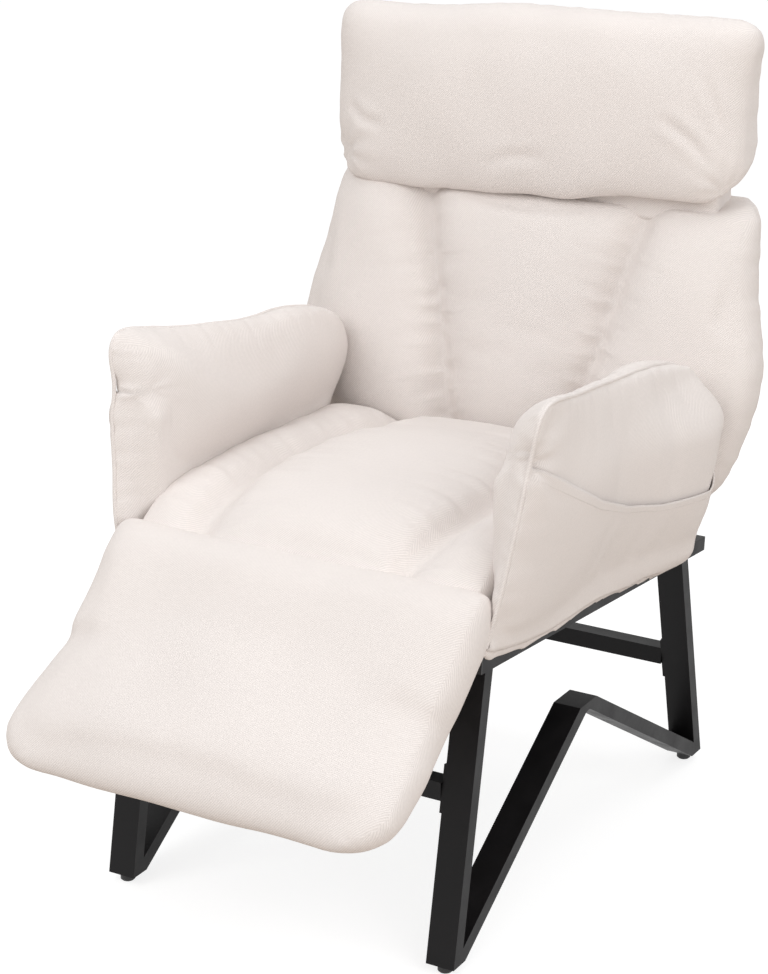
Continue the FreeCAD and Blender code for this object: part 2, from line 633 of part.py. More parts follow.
def cushion_wire(place, flat, half_base, half_side, half_edge, edge, crown, channel=None, belly=None):
    """Closed section: flat side, bulged sides and a crown, with two channels if given.

    place maps (across, depth) to a point; channel is (half spacing, depth of its bottom,
    depth of its lips, depth of the middle panel's crown); belly is the depth of the flat
    side's middle where that side swells.
    """
    middle = (flat + edge) / 2
    base = ("line", (half_base, flat)) if belly is None else ("arc", (0, belly), (half_base, flat))
    right = [base, ("arc", (half_side, middle), (half_edge, edge))]
    if channel:
        spacing, bottom, lips, centre_crown = channel
        outer = (spacing + CHANNEL_HALF, lips)
        inner = (spacing - CHANNEL_HALF, lips)
        right.append(("arc", ((half_edge + outer[0]) / 2, crown), outer))
        right.append(("line", (spacing, bottom)))
        right.append(("line", inner))
        last = inner
        top = centre_crown
    else:
        last = (half_edge, edge)
        top = crown
    edges = []
    here = (-half_base, flat)
    for kind, *points in right:
        edges.append(section_edge(place, here, points, kind))
        here = points[-1]
    edges.append(section_edge(place, here, [(0, top), (-last[0], last[1])], "arc"))
    stops = [(-half_base, flat)] + [points[-1] for kind, *points in right]
    here = (-last[0], last[1])
    for i in range(len(right) - 1, 0, -1):
        kind, *points = right[i]
        target = (-stops[i][0], stops[i][1])
        passing = [(-points[0][0], points[0][1]), target] if kind == "arc" else [target]
        edges.append(section_edge(place, here, passing, kind))
        here = target
    return Part.Wire(edges)


def section_edge(place, start, points, kind):
    if kind == "arc":
        return Part.Arc(place(*start), place(*points[0]), place(*points[1])).toShape()
    return Part.makeLine(place(*start), place(*points[0]))


def loft(wires):
    return Part.makeLoft(wires, True, False)


def plane_place(axis, lengthwise, depthwise, distance, tilt):
    """Places (across, depth) on a section that crosses lengthwise at distance.

    tilt moves the section along lengthwise for each unit of depth.
    """
    def place(across, depth):
        point = along(along(axis, lengthwise, distance + tilt * depth), depthwise, depth)
        return Vector(across, point[0], point[1])
    return place


# Seat cushion: sections from the front edge to the back's plane
seat_base_height = 2 * FRAME_RADIUS + WEBBING_THICKNESS + GAP
back_plane = along(BACK_AXIS, BEHIND_BACK, -(BACK_FRONT + SEAT_REAR_CLEARANCE))
SEAT_EDGE_DROP = 38.0        # side edge below the crown
SEAT_CHANNEL_DEPTH = 24.0
SEAT_LIP = 9.0
SEAT_SIDE_CROWN = 8.0        # side panels' crown below the middle panel's
SEAT_BASE_DRAWN = 8.0        # sides drawn in at the base
SEAT_EDGE_DRAWN = 6.0        # and at the top edge
SEAT_STATIONS = (
    # y at the crown, lean, drop of the whole top, drawn in at the sides
    (-220.0, 0.10, 40.0, 12.0),
    (-203.0, 0.10, 13.0, 4.0),
    (-150.0, 0.10, 2.0, 0.0),
    (0.0, 0.12, 0.0, 0.0),
    (160.0, 0.18, 0.0, 0.0),
    (crossing(back_plane, UP_BACK, (0, SEAT_TOP), (1, 0))[0], tangent(BACK_LEAN), 6.0, 4.0),
)


def seat_wire(y, lean, drop, drawn):
    def place(across, z):
        return Vector(across, y + lean * (z - SEAT_TOP), z)
    crown = SEAT_TOP - drop
    low_y = y + lean * (rail_top(y) - SEAT_TOP)
    flat = above_rail(low_y, seat_base_height)[1]
    half = SEAT_HALF_WIDTH - drawn
    edge = max(crown - SEAT_EDGE_DROP, flat + 2 * SEAT_LIP)
    side_crown = crown - SEAT_SIDE_CROWN
    depth = min(SEAT_CHANNEL_DEPTH, (crown - flat) / 2)
    channel = (SEAM_HALF, crown - depth, crown - SEAT_LIP, crown)
    base = half - SEAT_BASE_DRAWN
    top_edge = half - SEAT_EDGE_DRAWN
    return cushion_wire(place, flat, base, half, top_edge, edge, side_crown, channel)


save("seat_cushion", loft([seat_wire(*station) for station in SEAT_STATIONS]))
under_low = above_rail(seat_front[0], -COVER_THICKNESS / 2 - GAP)
under_high = above_rail(seat_rear[0], -COVER_THICKNESS / 2 - GAP)
save("seat_under_cover", bar(under_low, under_high, COVER_THICKNESS, -INNER_X + GAP, INNER_X - GAP))

# Back cushion: sections up the back, split at the frame into front and rear halves
BACK_STATIONS = (
    # distance up the back, width past the base on each side, channel spacing, thinning of the front, tilt
    (10.0, 33.0, 88.0, 26.0, 0.0),
    (48.0, 65.0, 92.0, 8.0, 0.0),
    (110.0, 84.0, 104.0, 0.0, 0.0),
    (180.0, 87.0, 119.0, 0.0, 0.0),
    (250.0, 76.0, 136.0, 0.0, 0.05),
    (330.0, 58.0, 157.0, 0.0, 0.15),
    (390.0, 52.0, 172.0, 8.0, 0.30),
    (422.0, 35.0, 180.0, 26.0, 0.44),
)
BACK_EDGE = 22.0             # side edge behind the crown
BACK_LIP = 8.0
BACK_CHANNEL_DEPTH = 28.0
BACK_SIDE_DRAWN = 16.0
BACK_BELLY = 14.0            # swell of the rear over its edges
BACK_BELLY_LOSS = 0.4        # of the thinning


def back_wire(distance, past_base, spacing, thin, tilt):
    half = BASE_HALF_WIDTH + past_base
    place = plane_place(BACK_AXIS, UP_BACK, BEHIND_BACK, distance, tilt)
    crown = thin - BACK_FRONT
    rear = BACK_REAR - thin / 2
    channel = (spacing, crown + BACK_CHANNEL_DEPTH, crown + BACK_LIP, crown)
    edge = crown + BACK_EDGE
    base = half - 2 * BACK_SIDE_DRAWN
    front_edge = half - BACK_SIDE_DRAWN
    belly = rear + BACK_BELLY - BACK_BELLY_LOSS * thin
    return cushion_wire(place, rear, base, half, front_edge, edge, crown, channel, belly)


def ratchet_rooms(axis, radius):
    room = disc(axis, radius, FRAME_X - POCKET_HALF, FRAME_X + POCKET_HALF)
    return room.fuse(mirrored(room))


def frame_room(start, end, depth):
    """Hollow for a frame: a slab across the chair, open at the split plane."""
    reach = FRAME_X + POCKET_HALF
    return bar(start, end, depth, -reach, reach)


def halves(whole, axis, lengthwise, depthwise, split):
    """Parts of a cushion on the two sides of its split plane."""
    front_limit = along(axis, depthwise, split)
    rear_limit = along(axis, depthwise, split + GAP)
    front_block = half_plane(front_limit, along(front_limit, lengthwise, 1.0))
    rear_block = half_plane(rear_limit, along(rear_limit, lengthwise, -1.0))
    return whole.common(front_block), whole.common(rear_block)


back_whole = loft([back_wire(*station) for station in BACK_STATIONS])
back_roll = disc(BACK_AXIS, BACK_ROLL, -ROLL_HALF_LENGTH, ROLL_HALF_LENGTH)
back_whole = back_whole.fuse(back_roll)
for axis in (BACK_AXIS, HEAD_AXIS):
    back_whole = back_whole.cut(ratchet_rooms(axis, RATCHET_ROOM))
back_cushion, back_rear_pad = halves(back_whole, BACK_AXIS, UP_BACK, BEHIND_BACK, SPLIT)
web_room = FRAME_RADIUS + WEBBING_THICKNESS + 2 * GAP
room_depth = web_room + SPLIT
room_middle = along(BACK_AXIS, BEHIND_BACK, SPLIT - room_depth / 2)
room_low = along(room_middle, UP_BACK, CHILD_TUBE_START - GAP)
room_high = along(room_middle, UP_BACK, HEAD_DISTANCE + RATCHET_ROOM)
back_cushion = back_cushion.cut(frame_room(room_low, room_high, room_depth))
gear_low = along(room_middle, UP_BACK, -BACK_ROLL)
gear_slot = bar(gear_low, room_low, room_depth, FRAME_X - POCKET_HALF, FRAME_X + POCKET_HALF)
back_cushion = back_cushion.cut(gear_slot).cut(mirrored(gear_slot))
save("back_cushion", back_cushion)
save("back_rear_pad", back_rear_pad)

# Footrest pad: sections from the hinge to the toe
FOOT_STATIONS = (
    # distance from the axis, width past the base on each side, thinning of the top, tilt,
    # swell of the crown, rise of the underside
    (2.0, -5.0, 10.0, -0.88, 0.0, 10.0),
    (60.0, 5.0, 0.0, -0.30, 6.0, 0.0),
    (130.0, 15.0, 0.0, 0.0, 12.0, 2.0),
    (FOOT_LENGTH - 82.0, 23.0, 0.0, 0.0, 12.0, 10.0),
    (FOOT_LENGTH - 40.0, 16.0, 3.0, 0.0, 8.0, 22.0),
    (FOOT_LENGTH - 18.0, -4.0, 8.0, 0.0, 3.0, 36.0),
    (FOOT_LENGTH, -52.0, 16.0, 0.0, 0.0, 52.0),
)
FOOT_EDGE = 0.12             # side edge below the crown, as a share of the thickness
FOOT_SIDE_DRAWN = 14.0


def foot_wire(distance, past_base, thin, tilt, swell, rise):
    half = BASE_HALF_WIDTH + past_base
    place = plane_place(FOOT_AXIS, DOWN_FOOT, OVER_FOOT, distance, tilt)
    top = FOOT_TOP - thin
    low = rise - FOOT_BOTTOM
    edge = top - FOOT_EDGE * (top - low)
    drawn = FOOT_SIDE_DRAWN * (top - low) / (FOOT_TOP + FOOT_BOTTOM)
    return cushion_wire(place, low, half - 2 * drawn, half, half - drawn, edge, top + swell)


foot_whole = loft([foot_wire(*station) for station in FOOT_STATIONS])
foot_whole = foot_whole.fuse(disc(FOOT_AXIS, FOOT_ROLL, -ROLL_HALF_LENGTH, ROLL_HALF_LENGTH))
foot_whole = foot_whole.cut(ratchet_rooms(FOOT_AXIS, RATCHET_ROOM))
under_foot = (-OVER_FOOT[0], -OVER_FOOT[1])
up_foot = (-DOWN_FOOT[0], -DOWN_FOOT[1])
foot_cushion, foot_under_pad = halves(foot_whole, FOOT_AXIS, up_foot, under_foot, SPLIT)
foot_middle = along(FOOT_AXIS, under_foot, SPLIT - room_depth / 2)
foot_room_high = along(foot_middle, DOWN_FOOT, CHILD_TUBE_START - GAP)
foot_room_low = along(foot_middle, DOWN_FOOT, CHILD_TUBE_START + FOOT_FRAME_LENGTH + GAP)
foot_cushion = foot_cushion.cut(frame_room(foot_room_high, foot_room_low, room_depth))
foot_slot = bar(along(foot_middle, DOWN_FOOT, -FOOT_ROLL), foot_room_high, room_depth,
                FRAME_X - POCKET_HALF, FRAME_X + POCKET_HALF)
foot_cushion = foot_cushion.cut(foot_slot).cut(mirrored(foot_slot))
save("foot_cushion", foot_cushion)
save("foot_under_pad", foot_under_pad)

# Head pillow: sections along its length
PILLOW_STATIONS = (
    # position across, drawn in all round
    (-1.0, 38.0),
    (-0.93, 15.0),
    (-0.72, 4.0),
    (-0.4, 1.0),
    (0.0, 0.0),
    (0.4, 1.0),
    (0.72, 4.0),
    (0.93, 15.0),
    (1.0, 38.0),
)
PILLOW_LOW_FRONT = -26.0     # lower front edge along the head's height
PILLOW_LOW_REAR = 14.0
PILLOW_ROUND = 46.0
PILLOW_LOW_ROUND = 28.0
PILLOW_REAR_SHARE = 0.8      # of the drawing in, at the rear
PILLOW_LOW_SHARE = 0.6       # and below
PILLOW_EASE = 90.0           # drawing in that would take the corners' rounds to nothing


def pillow_wire(position, drawn):
    def place(depth, height):
        point = along(along(HEAD_AXIS, UP_HEAD, height), BEHIND_HEAD, depth)
        return Vector(position * PILLOW_HALF_LENGTH, point[0], point[1])
    front = drawn - PILLOW_FRONT
    rear = PILLOW_REAR - drawn * PILLOW_REAR_SHARE
    top = PILLOW_TOP - drawn
    low_front = PILLOW_LOW_FRONT + drawn * PILLOW_LOW_SHARE
    low_rear = PILLOW_LOW_REAR + drawn * PILLOW_LOW_SHARE
    points = [(front, low_front), (rear, low_rear), (rear, top), (front, top)]
    ease = 1.0 - drawn / PILLOW_EASE
    low = PILLOW_LOW_ROUND * ease
    high = PILLOW_ROUND * ease
    radii = [low, low, high, high]
    return closed_wire(points, radii, place)


pillow = loft([pillow_wire(*station) for station in PILLOW_STATIONS])
pillow = pillow.cut(ratchet_rooms(HEAD_AXIS, RATCHET_ROOM))
head_cushion, head_rear_pad = halves(pillow, HEAD_AXIS, UP_HEAD, BEHIND_HEAD, SPLIT)
head_depth = FRAME_RADIUS + GAP + SPLIT
head_middle = along(HEAD_AXIS, BEHIND_HEAD, SPLIT - head_depth / 2)
head_room_low = along(head_middle, UP_HEAD, CHILD_TUBE_START - GAP)
head_room_high = along(head_middle, UP_HEAD, CHILD_TUBE_START + HEAD_FRAME_LENGTH + GAP)
head_cushion = head_cushion.cut(frame_room(head_room_low, head_room_high, head_depth))
head_slot = bar(along(head_middle, UP_HEAD, -RATCHET_ROOM), head_room_low, head_depth,
                FRAME_X - POCKET_HALF, FRAME_X + POCKET_HALF)
head_cushion = head_cushion.cut(head_slot).cut(mirrored(head_slot))
save("head_cushion", head_cushion)
save("head_rear_pad", head_rear_pad)

# Arm pads: side outlines lofted from the inner face to the outer seam
ARM_CORNER = 24.0
ARM_REAR_CORNER = 60.0
ARM_TOP_SHARE = 0.9          # of the inset, at the top
arm_front_line = (sine(ARM_FRONT_LEAN), cosine(ARM_FRONT_LEAN))
skirt_line = (0, rail_top(0) - SKIRT_DROP)
arm_front_foot = crossing((ARM_FRONT_Y, ARM_FLARE_HEIGHT), arm_front_line, skirt_line, RAIL_DIRECTION)
arm_front_top = crossing((ARM_FRONT_Y, ARM_FLARE_HEIGHT), arm_front_line, (0, ARM_TOP_FRONT), (1, 0))
arm_rear_top = crossing(back_plane, UP_BACK, (0, ARM_TOP_REAR), (1, 0))
arm_rear_foot = crossing(back_plane, UP_BACK, skirt_line, RAIL_DIRECTION)
ARM_STATIONS = (
    # inner to outer: x at the flare's height, flare, inset of the outline
    (ARM_INNER_X - 2.0, -0.10, 20.0),
    (ARM_INNER_X + 4.0, -0.06, 7.0),
    (ARM_INNER_X + 16.0, 0.03, 0.0),
    (ARM_OUTER_X - 9.0, 0.12, 0.0),
    (ARM_OUTER_X, ARM_FLARE, 4.0),
)


def arm_wire(x, flare, inset):
    def place(y, z):
        return Vector(x + flare * (z - ARM_FLARE_HEIGHT), y, z)
    raised = inset * ARM_TOP_SHARE
    points = [
        along(arm_front_foot, (1, 0), inset),
        arm_rear_foot,
        (arm_rear_top[0], arm_rear_top[1] - raised),
        (arm_front_top[0] + inset, arm_front_top[1] - raised),
    ]
    return closed_wire(points, [ARM_CORNER / 2, ARM_CORNER / 2, ARM_REAR_CORNER, ARM_CORNER], place)


arm = loft([arm_wire(*station) for station in ARM_STATIONS])
channel_low = above_rail(RAIL_FRONT_Y - TUBE_WIDTH, -2 * TUBE_DEPTH)
channel_rear = above_rail(RAIL_REAR_Y, -2 * TUBE_DEPTH)
channel_height = seat_base_height + GAP
channel_points = [channel_low, channel_rear, above_rail(RAIL_REAR_Y, channel_height),
                  above_rail(RAIL_FRONT_Y - TUBE_WIDTH, channel_height)]
arm = arm.cut(prism(channel_points, 0, BASE_HALF_WIDTH + GAP))
slot_margin = ARM_TUBE_RADIUS + GAP
slot_headroom = slot_margin * (1 + ARM_TUBE_FALL / (ARM_LEG_Y[1] - ARM_LEG_Y[0])) + GAP
slot_points = [
    above_rail(ARM_LEG_Y[0] - slot_margin, -GAP),
    above_rail(ARM_LEG_Y[1] + slot_margin, -GAP),
    (ARM_LEG_Y[1] + slot_margin, leg_tops[1][1] + slot_headroom),
    (ARM_LEG_Y[0] - slot_margin, leg_tops[0][1] + slot_headroom),
]
arm = arm.cut(prism(slot_points, arm_tube_x - slot_margin, arm_tube_x + slot_margin))
save_pair("arm_pad", arm)

# Side pocket: a sewn panel on the arm's outer face, its mouth lying shut
POCKET_INSET = 10.0
POCKET_FRONT_Z = 652.0
POCKET_LOW_Z = 512.0
POCKET_REAR_Z = 540.0
pocket_front_start = (ARM_FRONT_Y + POCKET_INSET, ARM_FLARE_HEIGHT)
pocket_front = crossing(pocket_front_start, arm_front_line, (0, POCKET_FRONT_Z), (1, 0))
pocket_front_foot = along(arm_front_foot, (2, 1), POCKET_INSET)
pocket_rear_line = along(back_plane, (1, 0), -POCKET_INSET)
pocket_rear = crossing(pocket_rear_line, UP_BACK, (0, POCKET_REAR_Z), (1, 0))
pocket_rear_foot = along(arm_rear_foot, (-2, 1), POCKET_INSET)
pocket_sag = ((pocket_front[0] + 2 * pocket_rear[0]) / 3, POCKET_LOW_Z)


def pocket_place(y, z):
    return Vector(ARM_OUTER_X + GAP + ARM_FLARE * (z - ARM_FLARE_HEIGHT), y, z)


pocket_edges = [
    Part.makeLine(pocket_place(*pocket_front), pocket_place(*pocket_front_foot)),
    Part.makeLine(pocket_place(*pocket_front_foot), pocket_place(*pocket_rear_foot)),
    Part.makeLine(pocket_place(*pocket_rear_foot), pocket_place(*pocket_rear)),
    Part.Arc(pocket_place(*pocket_rear), pocket_place(*pocket_sag), pocket_place(*pocket_front)).toShape(),
]
flare_angle = math.atan(ARM_FLARE)
outward = Vector(math.cos(flare_angle), 0, -math.sin(flare_angle)) * PANEL_THICKNESS
pocket_panel = Part.Face(Part.Wire(pocket_edges)).extrude(outward)
save_pair("pocket_panel", pocket_panel)
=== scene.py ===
"""Recliner chair on a bent steel base: its upholstery, finishes and studio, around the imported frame."""

import json
import math

import bmesh
import bpy
import numpy as np
from mathutils import Matrix
from mathutils import Vector
from mathutils import noise
from mathutils.bvhtree import BVHTree


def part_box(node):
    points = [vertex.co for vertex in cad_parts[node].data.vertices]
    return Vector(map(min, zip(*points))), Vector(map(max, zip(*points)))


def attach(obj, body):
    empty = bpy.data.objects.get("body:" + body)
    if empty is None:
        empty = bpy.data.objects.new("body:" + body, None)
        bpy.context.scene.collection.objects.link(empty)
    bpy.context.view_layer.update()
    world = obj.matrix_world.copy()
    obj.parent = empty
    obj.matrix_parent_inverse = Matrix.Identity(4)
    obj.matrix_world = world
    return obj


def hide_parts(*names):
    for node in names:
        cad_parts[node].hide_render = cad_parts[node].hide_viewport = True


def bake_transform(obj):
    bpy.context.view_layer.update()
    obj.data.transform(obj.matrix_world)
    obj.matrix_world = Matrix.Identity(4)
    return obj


bl_info = {
    "name": "Recliner Chair Upholstery",
    "version": (1, 0, 0),
    "blender": (4, 5, 0),
    "location": "3D View > Sidebar > Recliner",
    "description": "Dresses the packed frame of a recliner chair with padded fabric and finishes",
    "category": "Object",
}

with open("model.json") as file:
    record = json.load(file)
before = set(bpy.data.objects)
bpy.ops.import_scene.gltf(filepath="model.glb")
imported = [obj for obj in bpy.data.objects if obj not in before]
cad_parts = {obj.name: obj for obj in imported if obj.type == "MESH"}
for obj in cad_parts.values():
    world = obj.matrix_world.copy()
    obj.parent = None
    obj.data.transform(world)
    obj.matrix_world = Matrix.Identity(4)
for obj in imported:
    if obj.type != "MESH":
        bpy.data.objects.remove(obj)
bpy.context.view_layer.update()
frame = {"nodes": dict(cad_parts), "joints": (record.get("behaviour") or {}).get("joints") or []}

MM = 0.001
WHITE = (1.0, 1.0, 1.0, 1.0)

# Hinge lines and directions of the moving parts, as the frame has them
HINGES = {joint["name"]: Vector(joint["pos_m"]) for joint in frame["joints"]}
BACK_AXIS = HINGES["back_recline"]
HEAD_AXIS = HINGES["head_tilt"]
FOOT_AXIS = HINGES["foot_tilt"]
BACK_LEAN = math.radians(12.5)
HEAD_LEAN = math.radians(7.0)
FOOT_SLOPE = math.radians(41.5)
UP_BACK = Vector((0.0, math.sin(BACK_LEAN), math.cos(BACK_LEAN)))
BEHIND_BACK = Vector((0.0, math.cos(BACK_LEAN), -math.sin(BACK_LEAN)))
UP_HEAD = Vector((0.0, math.sin(HEAD_LEAN), math.cos(HEAD_LEAN)))
BEHIND_HEAD = Vector((0.0, math.cos(HEAD_LEAN), -math.sin(HEAD_LEAN)))
DOWN_FOOT = Vector((0.0, -math.cos(FOOT_SLOPE), -math.sin(FOOT_SLOPE)))
OVER_FOOT = Vector((0.0, -math.sin(FOOT_SLOPE), math.cos(FOOT_SLOPE)))


# Sizes and colours that a user may change

class RECLINER_PG_sizes(bpy.types.PropertyGroup):
    """Sizes of the upholstery."""

    voxel: bpy.props.FloatProperty(
        name="Mesh size", description="Mesh size of a pad before it is swollen",
        default=0.008, min=0.004, max=0.02, unit="LENGTH")
    pressure: bpy.props.FloatProperty(
        name="Pressure", description="Pressure of the filling on the cover", default=4.0, min=0.0, max=20.0)
    pillow_tilt: bpy.props.FloatProperty(
        name="Pillow tilt", description="How far the pillow hangs down at one end",
        default=math.radians(2.4), min=0.0, max=math.radians(5.0), subtype="ANGLE")
    stitch: bpy.props.FloatProperty(
        name="Stitch pitch", description="Distance from one stitch to the next",
        default=0.0042, min=0.002, max=0.01, unit="LENGTH")
    piping: bpy.props.FloatProperty(
        name="Piping radius", description="Radius of the piped seams on the arms",
        default=0.0028, min=0.001, max=0.006, unit="LENGTH")
    weave_pitch: bpy.props.FloatProperty(
        name="Weave pitch", description="Distance between two ribs of the twill",
        default=0.0024, min=0.0005, max=0.01, unit="LENGTH")


class RECLINER_PG_colours(bpy.types.PropertyGroup):
    """Colours of the finishes."""

    fabric: bpy.props.FloatVectorProperty(
        name="Fabric", description="Colour of the cover cloth", size=3, min=0.0, max=1.0,
        default=(0.787, 0.733, 0.704), subtype="COLOR")
    steel: bpy.props.FloatVectorProperty(
        name="Steel", description="Colour of the powder coat on the base", size=3, min=0.0, max=1.0,
        default=(0.006, 0.0055, 0.006), subtype="COLOR")
    zinc: bpy.props.FloatVectorProperty(
        name="Zinc", description="Colour of the plated hinge plates", size=3, min=0.0, max=1.0,
        default=(0.55, 0.55, 0.53), subtype="COLOR")
    plastic: bpy.props.FloatVectorProperty(
        name="Plastic", description="Colour of glides and end caps", size=3, min=0.0, max=1.0,
        default=(0.018, 0.018, 0.019), subtype="COLOR")
    webbing: bpy.props.FloatVectorProperty(
        name="Webbing", description="Colour of the elastic straps", size=3, min=0.0, max=1.0,
        default=(0.08, 0.075, 0.07), subtype="COLOR")
    lining: bpy.props.FloatVectorProperty(
        name="Lining", description="Colour of the dust cover under the seat", size=3, min=0.0, max=1.0,
        default=(0.05, 0.05, 0.052), subtype="COLOR")


def sizes():
    """The sizes of this scene."""
    return bpy.context.scene.recliner_sizes


def colours():
    """The colours of this scene."""
    return bpy.context.scene.recliner_colours


# Nodes

def set_inputs(node, values):
    """Sets a node's inputs by their names or numbers."""
    for key, value in values.items():
        node.inputs[key].default_value = value


def new_node(tree, kind, values=None, **settings):
    """Adds a node and sets its own properties and its inputs."""
    node = tree.nodes.new(kind)
    for key, value in settings.items():
        setattr(node, key, value)
    set_inputs(node, values or {})
    return node


def wire(tree, *links):
    """Links sockets, each from a node and its output to a node and its input."""
    for start, out, end, into in links:
        tree.links.new(start.outputs[out], end.inputs[into])


def shader_group(name, inputs, outputs):
    """A new shader group with a vector and other named inputs, and its two ends."""
    group = bpy.data.node_groups.new(name, "ShaderNodeTree")
    group.interface.new_socket(name="Vector", in_out="INPUT", socket_type="NodeSocketVector")
    for key, value in inputs.items():
        socket = group.interface.new_socket(name=key, in_out="INPUT", socket_type="NodeSocketFloat")
        socket.default_value = value
    for key in outputs:
        group.interface.new_socket(name=key, in_out="OUTPUT", socket_type="NodeSocketFloat")
    return group, new_node(group, "NodeGroupInput"), new_node(group, "NodeGroupOutput")


# Materials

def twill_group():
    """Twill weave: ribs that run at 45 degrees, with threads across them and slubs in the yarn."""
    counts = {"Ribs": 130.0, "Threads": 260.0}
    group, inside, outside = shader_group("twill_weave", counts, ("Height", "Tone"))
    bands = {"wave_type": "BANDS", "bands_direction": "X"}
    turn = new_node(group, "ShaderNodeMapping", {"Rotation": (0.0, 0.0, math.radians(45.0))})
    ribs = new_node(group, "ShaderNodeTexWave", {"Distortion": 0.6, "Detail Scale": 3.0}, **bands)
    threads = new_node(group, "ShaderNodeTexWave", {"Distortion": 0.4}, **bands)
    slubs = new_node(group, "ShaderNodeTexNoise", {"Scale": 240.0, "Detail": 3.0})
    weave = new_node(group, "ShaderNodeMath", {1: 0.35}, operation="MULTIPLY_ADD")
    height = new_node(group, "ShaderNodeMath", {1: 0.2}, operation="MULTIPLY_ADD")
    tone = new_node(group, "ShaderNodeMath", {1: 0.6}, operation="MULTIPLY_ADD")
    wire(group,
         (inside, "Vector", turn, "Vector"), (turn, "Vector", ribs, "Vector"),
         (inside, "Vector", threads, "Vector"), (inside, "Vector", slubs, "Vector"),
         (inside, "Ribs", ribs, "Scale"), (inside, "Threads", threads, "Scale"),
         (threads, "Fac", weave, 0), (ribs, "Fac", weave, 2),
         (slubs, "Fac", height, 0), (weave, "Value", height, 2), (slubs, "Fac", tone, 0),
         (ribs, "Fac", tone, 2), (height, "Value", outside, "Height"), (tone, "Value", outside, "Tone"))
    return group


def mottle_group():
    """Slow change of tone over a surface, as handling and light soil leave it."""
    known = bpy.data.node_groups.get("slow_mottle")
    if known:
        return known
    group, inside, outside = shader_group("slow_mottle", {"Scale": 9.0, "Detail": 4.0}, ("Mask",))
    cloud = new_node(group, "ShaderNodeTexNoise")
    spread = new_node(group, "ShaderNodeMapRange", {"From Min": 0.3, "From Max": 0.7})
    wire(group,
         (inside, "Vector", cloud, "Vector"), (inside, "Scale", cloud, "Scale"),
         (inside, "Detail", cloud, "Detail"), (cloud, "Fac", spread, "Value"),
         (spread, "Result", outside, "Mask"))
    return group


def blank_material(name):
    """A material with its Principled shader, and its tree."""
    material = bpy.data.materials.new(name)
    material.use_nodes = True
    tree = material.node_tree
    return material, tree, tree.nodes["Principled BSDF"]


def grain(tree, kind, scale, detail=2.0, **settings):
    """The value of a fine texture over the piece."""
    place = new_node(tree, "ShaderNodeTexCoord")
    texture = new_node(tree, kind, {"Scale": scale, "Detail": detail}, **settings)
    wire(tree, (place, "Object", texture, "Vector"))
    return texture.outputs["Fac"]


def mottle(tree, scale):
    """The mask of slow tone changes over the piece."""
    place = new_node(tree, "ShaderNodeTexCoord")
    cloud = new_node(tree, "ShaderNodeGroup", {"Scale": scale}, node_tree=mottle_group())
    wire(tree, (place, "Object", cloud, "Vector"))
    return cloud.outputs["Mask"]


def tones(tree, mask, colour, low, high):
    """The colour, from low to high times its strength as the mask goes from 0 to 1."""
    mix = new_node(tree, "ShaderNodeMix", data_type="RGBA")
    for socket, factor in ((6, low), (7, high)):
        set_inputs(mix, {socket: (*(min(1.0, part * factor) for part in colour), 1.0)})
    tree.links.new(mask, mix.inputs[0])
    return mix.outputs[2]


def colour_by(tree, shader, mask, colour, low, high):
    """Gives the shader the colour's tones."""
    tree.links.new(tones(tree, mask, colour, low, high), shader.inputs["Base Color"])


def roughness_by(tree, shader, mask, low, high):
    """Gives the shader a roughness from low to high with the mask."""
    rough = new_node(tree, "ShaderNodeMapRange", {"To Min": low, "To Max": high})
    tree.links.new(mask, rough.inputs["Value"])
    wire(tree, (rough, "Result", shader, "Roughness"))


def bumps_by(tree, shader, height, strength, distance):
    """Gives the shader fine bumps."""
    bump = new_node(tree, "ShaderNodeBump", {"Strength": strength, "Distance": distance})
    tree.links.new(height, bump.inputs["Height"])
    wire(tree, (bump, "Normal", shader, "Normal"))


def wave_scale(pitch):
    """Scale at which the bands of a wave texture are a pitch apart."""
    return math.pi / (10.0 * pitch)


def cover_cloth():
    """Cream twill cover cloth."""
    known = bpy.data.materials.get("cream_twill")
    if known:
        return known
    material, tree, shader = blank_material("cream_twill")
    place = new_node(tree, "ShaderNodeTexCoord")
    weave = new_node(tree, "ShaderNodeGroup", node_tree=twill_group())
    pitch = sizes().weave_pitch
    set_inputs(weave, {"Ribs": wave_scale(pitch), "Threads": wave_scale(0.55 * pitch)})
    yarn = new_node(tree, "ShaderNodeMix", {0: 0.13}, data_type="RGBA", blend_type="MULTIPLY")
    ground = tones(tree, mottle(tree, 7.0), colours().fabric, 0.985, 1.015)
    tree.links.new(ground, yarn.inputs[6])
    wire(tree, (place, "UV", weave, "Vector"), (weave, "Tone", yarn, 7), (yarn, 2, shader, "Base Color"))
    bumps_by(tree, shader, weave.outputs["Height"], 0.5, 0.5 * MM)
    set_inputs(shader, {
        "Roughness": 0.92, "Specular IOR Level": 0.18, "Sheen Weight": 0.12, "Sheen Roughness": 0.6})
    return material


def coated_steel():
    """Satin black powder coat with a fine orange peel and rubbed places."""
    material, tree, shader = blank_material("black_powder_coat")
    rubbed = mottle(tree, 22.0)
    colour_by(tree, shader, rubbed, colours().steel, 0.85, 1.25)
    roughness_by(tree, shader, rubbed, 0.38, 0.52)
    bumps_by(tree, shader, grain(tree, "ShaderNodeTexNoise", 900.0), 0.15, 0.2 * MM)
    set_inputs(shader, {"Specular IOR Level": 0.2})
    return material


def zinc_plate():
    """Plated steel of the hinges, springs and bolts."""
    material, tree, shader = blank_material("zinc_plate")
    crystals = mottle(tree, 160.0)
    colour_by(tree, shader, crystals, colours().zinc, 0.8, 1.1)
    roughness_by(tree, shader, crystals, 0.28, 0.45)
    set_inputs(shader, {"Metallic": 1.0})
    return material


